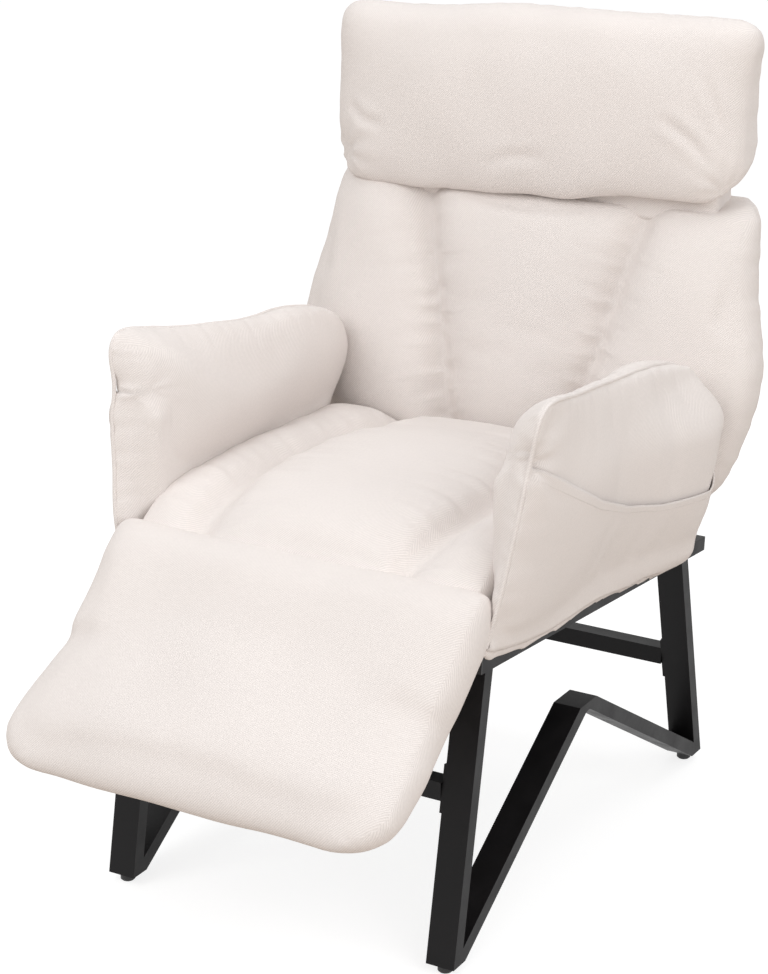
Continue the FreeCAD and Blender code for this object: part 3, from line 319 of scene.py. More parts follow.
def moulded_plastic():
    """Black moulded plastic with a fine spark texture."""
    material, tree, shader = blank_material("black_plastic")
    colour_by(tree, shader, mottle(tree, 60.0), colours().plastic, 0.85, 1.2)
    bumps_by(tree, shader, grain(tree, "ShaderNodeTexNoise", 1500.0), 0.25, 0.2 * MM)
    set_inputs(shader, {"Roughness": 0.55})
    return material


def strap_web():
    """Elastic webbing with ribs along the strap."""
    material, tree, shader = blank_material("strap_web")
    colour_by(tree, shader, mottle(tree, 30.0), colours().webbing, 0.85, 1.1)
    ribs = grain(tree, "ShaderNodeTexWave", 120.0, wave_type="BANDS", bands_direction="DIAGONAL")
    bumps_by(tree, shader, ribs, 0.5, 0.4 * MM)
    set_inputs(shader, {"Roughness": 0.85})
    return material


def dust_lining():
    """Thin pressed felt of the dust cover under the seat."""
    material, tree, shader = blank_material("dust_lining")
    fibre = grain(tree, "ShaderNodeTexNoise", 420.0, 6.0)
    colour_by(tree, shader, fibre, colours().lining, 0.6, 1.5)
    bumps_by(tree, shader, fibre, 0.4, 0.4 * MM)
    set_inputs(shader, {"Roughness": 0.95})
    return material


# Meshes

def read(items, key, width, kind=np.float32):
    """One value of every item of a mesh, as rows of an array."""
    flat = np.zeros(len(items) * width, kind)
    items.foreach_get(key, flat)
    return flat.reshape(-1, width)


def points_of(mesh):
    """The mesh's points."""
    return read(mesh.vertices, "co", 3).astype(float)


def normals_of(mesh):
    """The mesh's point normals."""
    return read(mesh.vertex_normals, "vector", 3).astype(float)


def edges_of(mesh):
    """The mesh's edges as pairs of point numbers."""
    return read(mesh.edges, "vertices", 2, np.int32)


def set_points(mesh, points):
    """Moves the mesh's points."""
    mesh.vertices.foreach_set("co", points.astype(np.float32).ravel())
    mesh.update()


def push(piece, amount, way=None):
    """Moves the piece's points by an amount along their normals, or along one direction."""
    mesh = piece.data
    way = normals_of(mesh) if way is None else way
    set_points(mesh, points_of(mesh) + amount[:, None] * way)


def neighbour_mean(points, edges):
    """The mean of each point's neighbours."""
    count = np.maximum(np.bincount(edges.ravel(), minlength=len(points)), 1).astype(float)
    mean = np.zeros_like(points)
    for axis in range(3):
        near = np.bincount(edges[:, 0], points[edges[:, 1], axis], len(points))
        near += np.bincount(edges[:, 1], points[edges[:, 0], axis], len(points))
        mean[:, axis] = near / count
    return mean


def smoothed(points, edges, rounds):
    """The points moved towards the mean of their neighbours, with a push back that keeps the volume."""
    moved = points.copy()
    for turn in range(rounds):
        for factor in (0.5, -0.48):
            moved += (neighbour_mean(moved, edges) - moved) * factor
    return moved


def relaxed(points, edges, rounds, weight):
    """The points drawn towards their neighbours, which rounds off edges where the weight lets it."""
    moved = points.copy()
    for turn in range(rounds):
        moved += (neighbour_mean(moved, edges) - moved) * 0.6 * weight[:, None]
    return moved


def ramp(value, start, full):
    """0 up to the start, 1 from the full value on, and straight between them."""
    return np.clip((value - start) / (full - start), 0.0, 1.0)


def eased(value, start, full):
    """A ramp with a soft start and end."""
    share = ramp(value, start, full)
    return share * share * (3.0 - 2.0 * share)


def bell(far, width):
    """1 at no distance, and close to 0 past two widths."""
    return np.exp(-(far / width) ** 2)


def value_on(line, place):
    """The second value of a line of pairs, where its first value is the place."""
    return np.interp(place, [pair[0] for pair in line], [pair[1] for pair in line])


def add_object(name, data):
    """Links a new object at the origin."""
    thing = bpy.data.objects.new(name, data)
    bpy.context.scene.collection.objects.link(thing)
    return thing


def plain_mesh(piece):
    """The object's mesh as its modifiers leave it, with the modifiers removed."""
    bpy.context.view_layer.update()
    graph = bpy.context.evaluated_depsgraph_get()
    made = bpy.data.meshes.new_from_object(piece.evaluated_get(graph))
    old = piece.data
    piece.modifiers.clear()
    piece.data = made
    if old.users == 0:
        bpy.data.meshes.remove(old)
    return made


def add_bar(work, profile, half_width):
    """Adds a closed bar across the chair to the mesh: a profile of (y, z) points between two ends."""
    near, far = [[work.verts.new((x, y, z)) for y, z in profile] for x in (-half_width, half_width)]
    work.faces.new(near)
    work.faces.new(list(reversed(far)))
    for index in range(len(profile)):
        after = (index + 1) % len(profile)
        work.faces.new((near[after], near[index], far[index], far[after]))


def outer_island(work):
    """Removes what the remesh leaves inside a pad, and keeps the outer skin."""
    left = set(work.verts)
    islands = []
    while left:
        found = [left.pop()]
        for vert in found:
            for edge in vert.link_edges:
                other = edge.other_vert(vert)
                if other in left:
                    left.discard(other)
                    found.append(other)
        islands.append(found)
    islands.sort(key=len)
    for island in islands[:-1]:
        bmesh.ops.delete(work, geom=island, context="VERTS")


def pad_from(name, nodes, bars=()):
    """A new object with the skin of those solids and bars, remeshed to small even squares."""
    work = bmesh.new()
    for node in nodes:
        work.from_mesh(frame["nodes"][node].data)
    bmesh.ops.remove_doubles(work, verts=work.verts, dist=0.01 * MM)
    for profile, half_width in bars:
        add_bar(work, profile, half_width)
    bmesh.ops.recalc_face_normals(work, faces=work.faces)
    mesh = bpy.data.meshes.new(name)
    work.to_mesh(mesh)
    work.free()
    piece = add_object(name, mesh)
    remesh = piece.modifiers.new("even", "REMESH")
    remesh.mode = "VOXEL"
    remesh.voxel_size = sizes().voxel
    made = plain_mesh(piece)
    work = bmesh.new()
    work.from_mesh(made)
    outer_island(work)
    work.to_mesh(made)
    work.free()
    set_points(made, smoothed(points_of(made), edges_of(made), 4))
    return piece


# How the cover behaves when the filling pushes on it, and how far inside its form it may end
COVER = {
    "quality": 4, "mass": 0.25, "tension_stiffness": 25.0, "compression_stiffness": 25.0,
    "shear_stiffness": 8.0, "bending_stiffness": 0.4, "air_damping": 2.0, "use_pressure": True,
    "vertex_group_mass": "held"}
SWELL_FRAMES = 20
SWELL_LOSS = 1.5 * MM


def swell(piece, held, shrink, slack, cap, pressure=None, calm=4):
    """Pushes the cover out with the filling's pressure, from a slightly smaller shape, held at its seams.

    The cover moves by no more than the cap, and is then relaxed for some rounds to calm its wrinkles.
    """
    mesh = piece.data
    form = points_of(mesh)
    facing = normals_of(mesh)
    start = form - facing * shrink * (1.0 - held)[:, None]
    set_points(mesh, start)
    group = piece.vertex_groups.new(name="held")
    for index in np.nonzero(held > 0.05)[0]:
        group.add([int(index)], float(held[index]), "REPLACE")
    setting = piece.modifiers.new("filling", "CLOTH").settings
    for key, value in COVER.items():
        setattr(setting, key, value)
    setting.uniform_pressure_force = sizes().pressure if pressure is None else pressure
    setting.shrink_min = -slack
    setting.effector_weights.gravity = 0.0
    scene = bpy.context.scene
    for count in range(1, SWELL_FRAMES + 1):
        scene.frame_set(count)
    graph = bpy.context.evaluated_depsgraph_get()
    made = bpy.data.meshes.new_from_object(piece.evaluated_get(graph))
    moved = points_of(made) - start
    bpy.data.meshes.remove(made)
    piece.modifiers.clear()
    piece.vertex_groups.clear()
    scene.frame_set(1)
    far = np.linalg.norm(moved, axis=1)
    share = cap * np.tanh(far / cap) / np.maximum(far, 1e-9)
    swollen = start + moved * share[:, None]
    depth = np.sum((swollen - form) * facing, axis=1)
    swollen += facing * np.clip(-depth - SWELL_LOSS, 0.0, None)[:, None]
    edges = edges_of(mesh)
    calmed = relaxed(swollen, edges, calm, 0.8 * (1.0 - held))
    set_points(mesh, smoothed(calmed, edges, 5))


def finer(piece):
    """One subdivision, applied."""
    refine = piece.modifiers.new("finer", "SUBSURF")
    refine.levels = 1
    refine.render_levels = 1
    plain_mesh(piece)


# Lines on the cover

def curve_points(knots, step=0.008):
    """Points along a smooth line through the knots, step apart."""
    knots = np.array(knots, float)
    padded = np.vstack([2 * knots[0] - knots[1], knots, 2 * knots[-1] - knots[-2]])
    line = []
    for index in range(1, len(padded) - 2):
        before, here, after, later = padded[index - 1:index + 3]
        count = max(2, int(np.linalg.norm(after - here) / step))
        for part in range(count):
            t = part / count
            line.append(0.5 * (2 * here + (after - before) * t
                               + (2 * before - 5 * here + 4 * after - later) * t * t
                               + (3 * here - before - 3 * after + later) * t ** 3))
    line.append(knots[-1])
    return np.array(line)


def surface(piece):
    """The piece's faces, to find places on them."""
    mesh = piece.data
    return BVHTree.FromPolygons([v.co for v in mesh.vertices], [p.vertices for p in mesh.polygons])


def onto(piece, line, lift=0.0):
    """The line's points moved onto the piece's surface, or a little above it."""
    tree = surface(piece)
    placed = []
    for point in line:
        spot, normal, face, far = tree.find_nearest(Vector(point))
        placed.append(spot + normal * lift)
    return np.array(placed)


def rim(piece, middle, up, behind):
    """A closed line round the piece, where a plane behind its middle meets the cover."""
    tree = surface(piece)
    line = []
    for degrees in range(0, 362, 2):
        turn = math.radians(degrees)
        way = Vector((math.cos(turn), 0.0, 0.0)) + up * math.sin(turn)
        spot, normal, face, far = tree.ray_cast(middle + behind + way, -way)
        if spot is None:
            raise RuntimeError("the seam misses " + piece.name)
        line.append(np.array(spot))
    return np.array(line)


def near_line(points, line):
    """Each point's distance to the line, and how far along the line its nearest place is."""
    best = np.full(len(points), 1e9)
    along = np.zeros(len(points))
    reached = 0.0
    for a, b in zip(line[:-1], line[1:]):
        run = b - a
        length = np.linalg.norm(run)
        if length < 1e-9:
            continue
        t = np.clip(((points - a) @ run) / (length * length), 0.0, 1.0)
        far = np.linalg.norm(points - a - t[:, None] * run, axis=1)
        closer = far < best
        best[closer] = far[closer]
        along[closer] = reached + t[closer] * length
        reached += length
    return best, along


# Seams, folds and unevenness of the cover

def ripple(along, length, seed):
    """A wavy value along a seam, between about -1 and 1, made of waves that don't fit each other."""
    phase = seed * 1.7
    value = np.sin(2 * math.pi * along / length + phase)
    value += 0.6 * np.sin(2 * math.pi * along / (length * 0.61) + 2.1 * phase + 0.7)
    value += 0.4 * np.sin(2 * math.pi * along / (length * 1.83) + 0.9 * phase + 1.9)
    return value / 2.0


SEAM_DEPTH = 2.5 * MM
PUCKER_DEPTH = 1.2 * MM
PUCKER_REACH = 30 * MM
LIP_RADIUS = 4 * MM
LIP_WAVE = 45 * MM


def sew(piece, line, width, wave, seed):
    """Draws the cover in along a seam, with puckers that run away from it."""
    far, along = near_line(points_of(piece.data), line)
    near = bell(far, width)
    pucker = PUCKER_DEPTH * np.exp(-far / PUCKER_REACH) * ripple(along, wave, seed) * (1.0 - near)
    push(piece, pucker - SEAM_DEPTH * near)


def crease(piece, line, depth, width, inward, wobble=0.0, seed=1.0):
    """Sinks the cover into a sewn channel whose lips stay round, in one direction."""
    far, along = near_line(points_of(piece.data), line)
    swing = 1.0 + wobble * ripple(along, LIP_WAVE, seed)
    soft = np.sqrt(far * far + LIP_RADIUS ** 2) - LIP_RADIUS
    inward = np.array(inward, float)
    seen = np.clip(-(normals_of(piece.data) @ inward) * 2.0 + 0.6, 0.0, 1.0)
    push(piece, depth * np.exp(-soft / (width * swing)) * seen, inward)


def pinch(piece, spot, depth, reach, folds, seed):
    """Draws the cover in at one point, with folds that run out from it like rays."""
    away = points_of(piece.data) - np.array(spot)
    far = np.linalg.norm(away, axis=1)
    nearest = normals_of(piece.data)[far.argmin()]
    first = np.cross(nearest, (0.13, 0.27, 0.95))
    first /= np.linalg.norm(first)
    second = np.cross(nearest, first)
    turn = np.arctan2(away @ second, away @ first)
    rays = np.cos(folds * turn + seed) + 0.5 * np.cos((folds + 2) * turn + 2 * seed)
    ray = 0.28 * depth * np.exp(-far / (0.5 * reach)) * rays * (1.0 - bell(far, 0.2 * reach))
    push(piece, -(depth * bell(far, 0.3 * reach) + ray))


def fold(piece, knots, depth, width):
    """Presses a soft wrinkle into the cover, a valley between two low ridges that fades at its ends."""
    line = onto(piece, curve_points(knots, 0.006))
    far, along = near_line(points_of(piece.data), line)
    length = np.linalg.norm(np.diff(line, axis=0), axis=1).sum()
    fade = np.sin(math.pi * np.clip(along / length, 0.0, 1.0)) ** 0.7
    ridge = 0.5 * bell(far - 2.2 * width, 1.2 * width)
    push(piece, -depth * fade * (bell(far, width) - ridge))


def soften(piece, size, wave, seed):
    """Adds the slow unevenness of loose filling."""
    shift = Vector((seed * 3.1, seed * 1.3, seed * 2.7))
    value = np.array([noise.noise(Vector(point) / wave + shift) for point in points_of(piece.data)])
    push(piece, value * size)


def lay_weave(piece, slope=0.0):
    """Gives the piece a UV map in metres, laid on from the side that each face looks to on that slope."""
    mesh = piece.data
    layer = mesh.uv_layers.get("weave") or mesh.uv_layers.new(name="weave")
    level = np.array(Matrix.Rotation(-slope, 3, "X"))
    points = points_of(mesh) @ level.T
    main = np.abs(read(mesh.polygons, "normal", 3) @ level.T).argmax(axis=1)
    corners = read(mesh.polygons, "loop_total", 1, np.int32)[:, 0]
    axis = np.repeat(main, corners)
    at = points[read(mesh.loops, "vertex_index", 1, np.int32)[:, 0]]
    across = np.where(axis == 0, at[:, 1], at[:, 0])
    up = np.where(axis == 2, at[:, 1], at[:, 2])
    layer.data.foreach_set("uv", np.stack([across, up], axis=1).astype(np.float32).ravel())


def dress(piece, slope=0.0):
    """Gives a finished piece its smooth faces, weave, cloth and slot."""
    mesh = piece.data
    mesh.polygons.foreach_set("use_smooth", [True] * len(mesh.polygons))
    lay_weave(piece, slope)
    mesh.materials.clear()
    mesh.materials.append(cover_cloth())


def at_back(x, up, behind):
    """A point on the backrest, by its distance up from the hinge and behind the frame's plane, in mm."""
    return np.array(BACK_AXIS + Vector((x * MM, 0, 0)) + UP_BACK * up * MM + BEHIND_BACK * behind * MM)


def at_head(x, up, behind):
    """A point on the headrest, in mm."""
    return np.array(HEAD_AXIS + Vector((x * MM, 0, 0)) + UP_HEAD * up * MM + BEHIND_HEAD * behind * MM)


def at_foot(x, down, over):
    """A point on the footrest, in mm."""
    return np.array(FOOT_AXIS + Vector((x * MM, 0, 0)) + DOWN_FOOT * down * MM + OVER_FOOT * over * MM)


def on_side(*places):
    """Profile points (y, z) from points in space."""
    return [(float(p[1]), float(p[2])) for p in places]


# Finishes of the rigid parts

class RECLINER_OT_finishes(bpy.types.Operator):
    """Give the steel, plastic, webbing and lining of the frame their finishes"""

    bl_idname = "recliner.finishes"
    bl_label = "Finish the frame"

    def execute(self, context):
        made = {
            "black_steel": coated_steel(), "zinc_steel": zinc_plate(), "black_plastic": moulded_plastic(),
            "webbing": strap_web(), "dust_cover": dust_lining(), "cream_fabric": cover_cloth()}
        for name, node in frame["nodes"].items():
            slot = node.data.materials[0].name
            if slot not in made:
                raise RuntimeError("no finish is named for " + name)
            node.data.materials.clear()
            node.data.materials.append(made[slot])
        return {"FINISHED"}


# The seat's front roll and panels as profiles (y, z), and its sewn valley on one side by (y, x), in metres
SEAT_ROLL = (
    (-0.16, 0.430), (-0.16, 0.503), (-0.203, 0.507), (-0.226, 0.503), (-0.242, 0.491), (-0.245, 0.470),
    (-0.235, 0.430))
SEAT_ROLL_HALF = 0.222
SEAT_PANELS = (
    (0.285, 0.440), (0.285, 0.500), (0.21, 0.509), (0.11, 0.516), (0.0, 0.520), (-0.10, 0.519),
    (-0.19, 0.511), (-0.225, 0.496), (-0.235, 0.475), (-0.225, 0.440))
SEAT_PANELS_HALF = 0.257
SEAT_VALLEY = ((-0.236, 0.150), (-0.15, 0.160), (-0.03, 0.170), (0.08, 0.163), (0.18, 0.144), (0.28, 0.124))
SEAT_VALLEY_SHIFT = -8 * MM
SEAT_HEIGHT = 0.53
SEAT_LIFT = 17 * MM


class RECLINER_OT_seat(bpy.types.Operator):
    """Make the seat cushion with its two sewn valleys"""

    bl_idname = "recliner.seat"
    bl_label = "Seat cushion"

    def execute(self, context):
        bars = [(SEAT_ROLL, SEAT_ROLL_HALF), (SEAT_PANELS, SEAT_PANELS_HALF)]
        piece = pad_from("seat_pad", ["seat_cushion"], bars)
        mesh = piece.data
        points = points_of(mesh)
        set_points(mesh, relaxed(points, edges_of(mesh), 10, ramp(points[:, 2], 0.45, 0.48)))
        points = points_of(mesh)
        x, y, z = points.T
        z += SEAT_LIFT * eased(z, 0.44, 0.50) * eased(y, -0.235, -0.105)
        set_points(mesh, points)
        valley = bell(np.abs(x) - value_on(SEAT_VALLEY, y), 10 * MM) * (z > 0.46)
        swell(piece, np.maximum(0.8 * valley, ramp(z, 0.455, 0.445)), 2 * MM, 0.02, 16 * MM)
        finer(piece)
        for side in (-1, 1):
            knots = [(side * out + SEAT_VALLEY_SHIFT, back, SEAT_HEIGHT) for back, out in SEAT_VALLEY]
            line = onto(piece, curve_points(knots))
            crease(piece, line, 21 * MM, 24 * MM, (0, 0, -1), 0.25, 1.0 + side)
            crease(piece, line, 24 * MM, 8 * MM, (0, 0, -1))
        soften(piece, 3 * MM, 0.1, 1.0)
        dress(piece)
        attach(piece, "base")
        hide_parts("seat_cushion")
        return {"FINISHED"}


# The arm's outer panel: its slope, and its piped edge, top, lower edge and pocket mouth by (y, z), in metres
ARM_FLARE = 0.134
ARM_FLARE_HEIGHT = 0.461
ARM_OUTER_X = 0.283
ARM_FRONT_Y = -0.2405
ARM_FRONT_LEAN = math.radians(10.0)
ARM_TOP_LEAN = 0.030
ARM_EDGE = (
    (-0.2465, 0.430), (-0.2405, 0.461), (-0.226, 0.545), (-0.209, 0.640), (-0.203, 0.690), (-0.194, 0.715),
    (-0.175, 0.727), (-0.145, 0.725), (-0.04, 0.705), (0.10, 0.685), (0.17, 0.675), (0.225, 0.664),
    (0.285, 0.648), (0.318, 0.612), (0.312, 0.560), (0.302, 0.500), (0.293, 0.440), (0.286, 0.400))
ARM_TOP = ((-0.215, 0.716), *ARM_EDGE[6:12], (0.285, 0.650), (0.33, 0.628))
ARM_BOTTOM = (
    (-0.26, 0.420), (-0.229, 0.408), (-0.15, 0.392), (-0.078, 0.381), (0.03, 0.379), (0.122, 0.372),
    (0.21, 0.360), (0.265, 0.352), (0.284, 0.358), (0.30, 0.385), (0.34, 0.40))
POCKET_MOUTH = (
    (-0.197, 0.655), (-0.11, 0.606), (-0.02, 0.558), (0.07, 0.522), (0.15, 0.502), (0.25, 0.494),
    (0.30, 0.517))

# The solid arm's top and underside: a place y, the height there and the rise towards the rear
ARM_SOLID_TOP = (-0.195, 0.7185, -0.167)
ARM_SOLID_UNDER = (-0.235, 0.399, -0.0857)

# How the cover is rounded towards the arm's inner face, and where that face and the tube inside it are
ARM_ROUND = 80 * MM
ARM_NOSE = 58 * MM
ARM_CROWN = 24 * MM
ARM_DROP = 42 * MM
ARM_REAR_RISE = 56 * MM
ARM_TOP_FROM = 0.54
ARM_SOLID_INNER_X = 0.206
ARM_INNER_X = 0.220
ARM_TUBE_X = 0.244
ARM_REAR_FLARE = 46 * MM
ARM_REAR_BULGE = 12 * MM

# Tufts at the pocket's front corner and the arm's foot: place (y, z), depth, reach, number of folds and seed
ARM_PINCHES = ((POCKET_MOUTH[0], 13 * MM, 0.06, 7, 0.8), ((-0.236, 0.455), 6 * MM, 0.07, 8, 1.6))


def side_of(label):
    """1 or -1, by the side of the chair that the arm is on."""
    low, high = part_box(label + "_arm_pad")
    return 1 if low.x + high.x > 0 else -1


def made_arm(label):
    """The arm's finished piece."""
    arm = bpy.data.objects.get(label + "_arm")
    if arm is None:
        raise RuntimeError("the arms come before what is sewn to them")
    return arm


def sloped(line, y):
    """Height of a straight line that starts at a place and height and rises."""
    start, height, rise = line
    return height + rise * (y - start)


def panel_x(z):
    """How far out the arm's outer panel is at a height."""
    return ARM_OUTER_X + ARM_FLARE * (z - ARM_FLARE_HEIGHT)


def arm_front(z):
    """Where the front edge of the arm's outer panel is at a height."""
    return ARM_FRONT_Y + (z - ARM_FLARE_HEIGHT) * math.tan(ARM_FRONT_LEAN)


def arm_lean(y, z):
    """How far the top of the arm's outer panel leans in over the arm."""
    return ARM_TOP_LEAN * eased(y, -0.17, 0.05) * eased(z, 0.58, 0.67)


def arm_outer(side, y, z):
    """A point on the arm's outer panel before it is swollen."""
    return np.array((side * (panel_x(z) - arm_lean(y, z)), y, z))


class RECLINER_OT_arms(bpy.types.Operator):
    """Make the two padded arms, round on the inside and sewn to a piped outer panel"""

    bl_idname = "recliner.arms"
    bl_label = "Arms"

    def execute(self, context):
        for label in ("left", "right"):
            node = label + "_arm_pad"
            piece = pad_from(label + "_arm", [node])
            self.shape(piece, side_of(label))
            dress(piece)
            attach(piece, "base")
            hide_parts(node)
        return {"FINISHED"}

    def shape(self, piece, side):
        """Rounds, swells and creases one arm."""
        mesh = piece.data
        edge = curve_points([arm_outer(side, y, z) for y, z in ARM_EDGE])
        points = points_of(mesh)
        inside = ramp(panel_x(points[:, 2]) - side * points[:, 0], 6 * MM, 28 * MM)
        self.nose(points, side)
        rounded = relaxed(points, edges_of(mesh), 55, inside * ramp(points[:, 2], 0.43, 0.48))
        set_points(mesh, rounded)
        held = np.maximum(bell(near_line(rounded, edge)[0], 9 * MM), ramp(rounded[:, 2], 0.43, 0.41))
        swell(piece, held, 2 * MM, 0.025, 20 * MM, pressure=8.0)
        finer(piece)
        mesh = piece.data
        points = points_of(mesh)
        self.drape(points, side)
        x, y, z = points.T
        inside = ramp(panel_x(z) - side * x, 8 * MM, 23 * MM) * ramp(z, 0.50, 0.55)
        points = relaxed(points, edges_of(mesh), 30, inside)
        self.clear_tube(points, side)
        set_points(mesh, points)
        sew(piece, edge, 7 * MM, 0.03, 4.0 + side)
        for place, depth, reach, folds, seed in ARM_PINCHES:
            spot = onto(piece, [arm_outer(side, *place)])[0]
            pinch(piece, spot, depth, reach, folds, seed)
        soften(piece, 3 * MM, 0.1, 3.0 + side)

    def nose(self, points, side):
        """Rounds the arm from its outer edge over the front and the top to the inner face."""
        x, y, z = points.T
        inward = ramp(panel_x(z) - side * x, 0.0, ARM_ROUND)
        front = arm_front(z)
        back_off = ARM_NOSE * inward ** 2 * eased(z, 0.43, 0.49)
        y[:] = np.where(y < 0.0, y * (front + back_off) / front, y)
        drop = ARM_DROP - ARM_REAR_RISE * eased(y, 0.02, 0.20)
        crown = value_on(ARM_TOP, y) + ARM_CROWN * inward * (1.0 - inward) - drop * inward ** 2
        solid = sloped(ARM_SOLID_TOP, y)
        raised = ARM_TOP_FROM + (z - ARM_TOP_FROM) * (crown - ARM_TOP_FROM) / (solid - ARM_TOP_FROM)
        z[:] = np.where(z > ARM_TOP_FROM, raised, z)
        x -= side * arm_lean(y, z) * (1.0 - inward)

    def drape(self, points, side):
        """Hangs the outer panel over the rail, flares its rear end and draws the inner face off the seat."""
        x, y, z = points.T
        out = side * x
        outer = ramp(out - panel_x(z), -0.03, -0.01)
        z += (value_on(ARM_BOTTOM, y) - sloped(ARM_SOLID_UNDER, y)) * ramp(z, 0.49, 0.40) * outer
        height = eased(z, 0.33, 0.40) * (1.0 - 0.5 * eased(z, 0.57, 0.65))
        out = out + ARM_REAR_FLARE * eased(y, 0.05, 0.28) * height * ramp(out, 0.245, 0.275)
        beside_seat = 20 * MM * eased(z, 0.60, 0.51)
        at_front = 8 * MM * eased(y, -0.165, -0.215) * eased(z, 0.59, 0.46)
        face = panel_x(z)
        narrow = ARM_INNER_X + beside_seat - at_front
        share = np.clip((face - narrow) / (face - ARM_SOLID_INNER_X), 0.3, 1.0)
        depth = face - out
        x[:] = side * np.where(depth > 0.0, face - depth * share, out)
        y += ARM_REAR_BULGE * eased(y, 0.24, 0.30) * eased(z, 0.50, 0.56) * ramp(depth, 0.0, 0.03)

    def clear_tube(self, points, side):
        """Keeps the inner face in front of the tube inside the arm."""
        x, y, z = points.T
        out = side * x
        over_tube = eased(z, 0.65, 0.61) * eased(y, -0.20, -0.17) * eased(y, 0.26, 0.22) * (out < 0.272)
        x -= side * over_tube * np.clip(out - ARM_TUBE_X, 0.0, None)


# The pocket's mesh, its margins inside the panel's edges, its rear line and how far its mouth stands off
POCKET_COLUMNS = 96
POCKET_ROWS = 40
POCKET_FRONT_MARGIN = 5 * MM
POCKET_REAR_MARGIN = 4 * MM
POCKET_HEM_MARGIN = 12 * MM
POCKET_REAR = (0.291, 0.44)
POCKET_START = -0.2
POCKET_LENGTH = 0.51
POCKET_LIFT = 1.2 * MM
POCKET_GAPE = 5.5 * MM
POCKET_STITCH_ROW = 3


def pocket_place(u, v):
    """A place (y, z) on the pocket, with u from its front to its rear and v from its mouth to its hem."""
    def down(y):
        top = value_on(POCKET_MOUTH, y)
        return top + (value_on(ARM_BOTTOM, y) + POCKET_HEM_MARGIN - top) * v
    z = down(POCKET_START + POCKET_LENGTH * u)
    front = arm_front(z) + POCKET_FRONT_MARGIN
    rear = POCKET_REAR[0] + (z - POCKET_REAR[1]) * math.tan(BACK_LEAN) - POCKET_REAR_MARGIN
    y = front + (rear - front) * u
    return y, down(y)


class RECLINER_OT_pockets(bpy.types.Operator):
    """Lay the sewn pocket panel on the outside of each arm, and stitch its hem"""

    bl_idname = "recliner.pockets"
    bl_label = "Side pockets"

    def execute(self, context):
        for label in ("left", "right"):
            self.panel(label, made_arm(label), side_of(label))
        return {"FINISHED"}

    def panel(self, label, arm, side):
        """One pocket panel, a sheet that follows the arm and stands off it a little at the mouth."""
        tree = surface(arm)
        wide = POCKET_COLUMNS + 1
        sheet = np.zeros((POCKET_ROWS + 1, wide, 3))
        for row, column in np.ndindex(POCKET_ROWS + 1, wide):
            u = column / POCKET_COLUMNS
            v = row / POCKET_ROWS
            y, z = pocket_place(u, v)
            spot, normal, face, far = tree.ray_cast(Vector((side * 0.6, y, z)), Vector((-side, 0, 0)))
            if spot is None:
                spot, normal, face, far = tree.find_nearest(Vector(arm_outer(side, y, z)))
            open_mouth = (1.0 - v) ** 3 * math.sin(math.pi * min(1.0, 0.06 + 0.9 * u)) ** 0.7
            sheet[row, column] = np.array(spot) + np.array(normal) * (POCKET_LIFT + POCKET_GAPE * open_mouth)
        faces = []
        for row, column in np.ndindex(POCKET_ROWS, POCKET_COLUMNS):
            a = row * wide + column
            b = a + wide
            faces.append((a, a + 1, b + 1, b) if side < 0 else (a, b, b + 1, a + 1))
        mesh = bpy.data.meshes.new(label + "_pocket")
        mesh.from_pydata(sheet.reshape(-1, 3).tolist(), [], faces)
        piece = add_object(label + "_pocket", mesh)
        wall = piece.modifiers.new("cloth", "SOLIDIFY")
        wall.thickness = 2.0 * MM
        wall.offset = 0.0
        plain_mesh(piece)
        dress(piece)
        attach(piece, "base")
        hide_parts(label + "_pocket_panel")
        hem = sheet[POCKET_STITCH_ROW] + np.array((side * 1.4 * MM, 0, 0))
        follow_path(label + "_pocket_stitches", hem, "base", stitch_tree(), {
            "Pitch": sizes().stitch, "Length": 0.62 * sizes().stitch, "Width": 0.7 * MM})


# Trees that follow a path

def new_tree(name, inputs):
    """An empty geometry tree with named inputs for its sizes and its material."""
    tree = bpy.data.node_groups.new(name, "GeometryNodeTree")
    tree.interface.new_socket(name="Geometry", in_out="OUTPUT", socket_type="NodeSocketGeometry")
    tree.interface.new_socket(name="Geometry", in_out="INPUT", socket_type="NodeSocketGeometry")
    for key in inputs:
        tree.interface.new_socket(name=key, in_out="INPUT", socket_type="NodeSocketFloat")
    tree.interface.new_socket(name="Material", in_out="INPUT", socket_type="NodeSocketMaterial")
    return tree, new_node(tree, "NodeGroupInput"), new_node(tree, "NodeGroupOutput")


def end_tree(tree, inside, outside, last, result):
    """Ends a tree in real faces with their material."""
    real = new_node(tree, "GeometryNodeRealizeInstances")
    smooth = new_node(tree, "GeometryNodeSetShadeSmooth")
    finish = new_node(tree, "GeometryNodeSetMaterial")
    wire(tree,
         (last, result, real, "Geometry"), (real, "Geometry", smooth, "Geometry"),
         (smooth, "Geometry", finish, "Geometry"), (inside, "Material", finish, "Material"),
         (finish, "Geometry", outside, "Geometry"))


def piping_tree():
    """A round welt along a path."""
    known = bpy.data.node_groups.get("piped_welt")
    if known:
        return known
    tree, inside, outside = new_tree("piped_welt", ("Radius", "Step"))
    path = new_node(tree, "GeometryNodeMeshToCurve")
    even = new_node(tree, "GeometryNodeResampleCurve", mode="LENGTH")
    ring = new_node(tree, "GeometryNodeCurvePrimitiveCircle", {"Resolution": 10}, mode="RADIUS")
    skin = new_node(tree, "GeometryNodeCurveToMesh", {"Fill Caps": True})
    wire(tree,
         (inside, "Geometry", path, "Mesh"), (path, "Curve", even, "Curve"), (inside, "Step", even, "Length"),
         (inside, "Radius", ring, "Radius"), (even, "Curve", skin, "Curve"),
         (ring, "Curve", skin, "Profile Curve"))
    end_tree(tree, inside, outside, skin, "Mesh")
    return tree


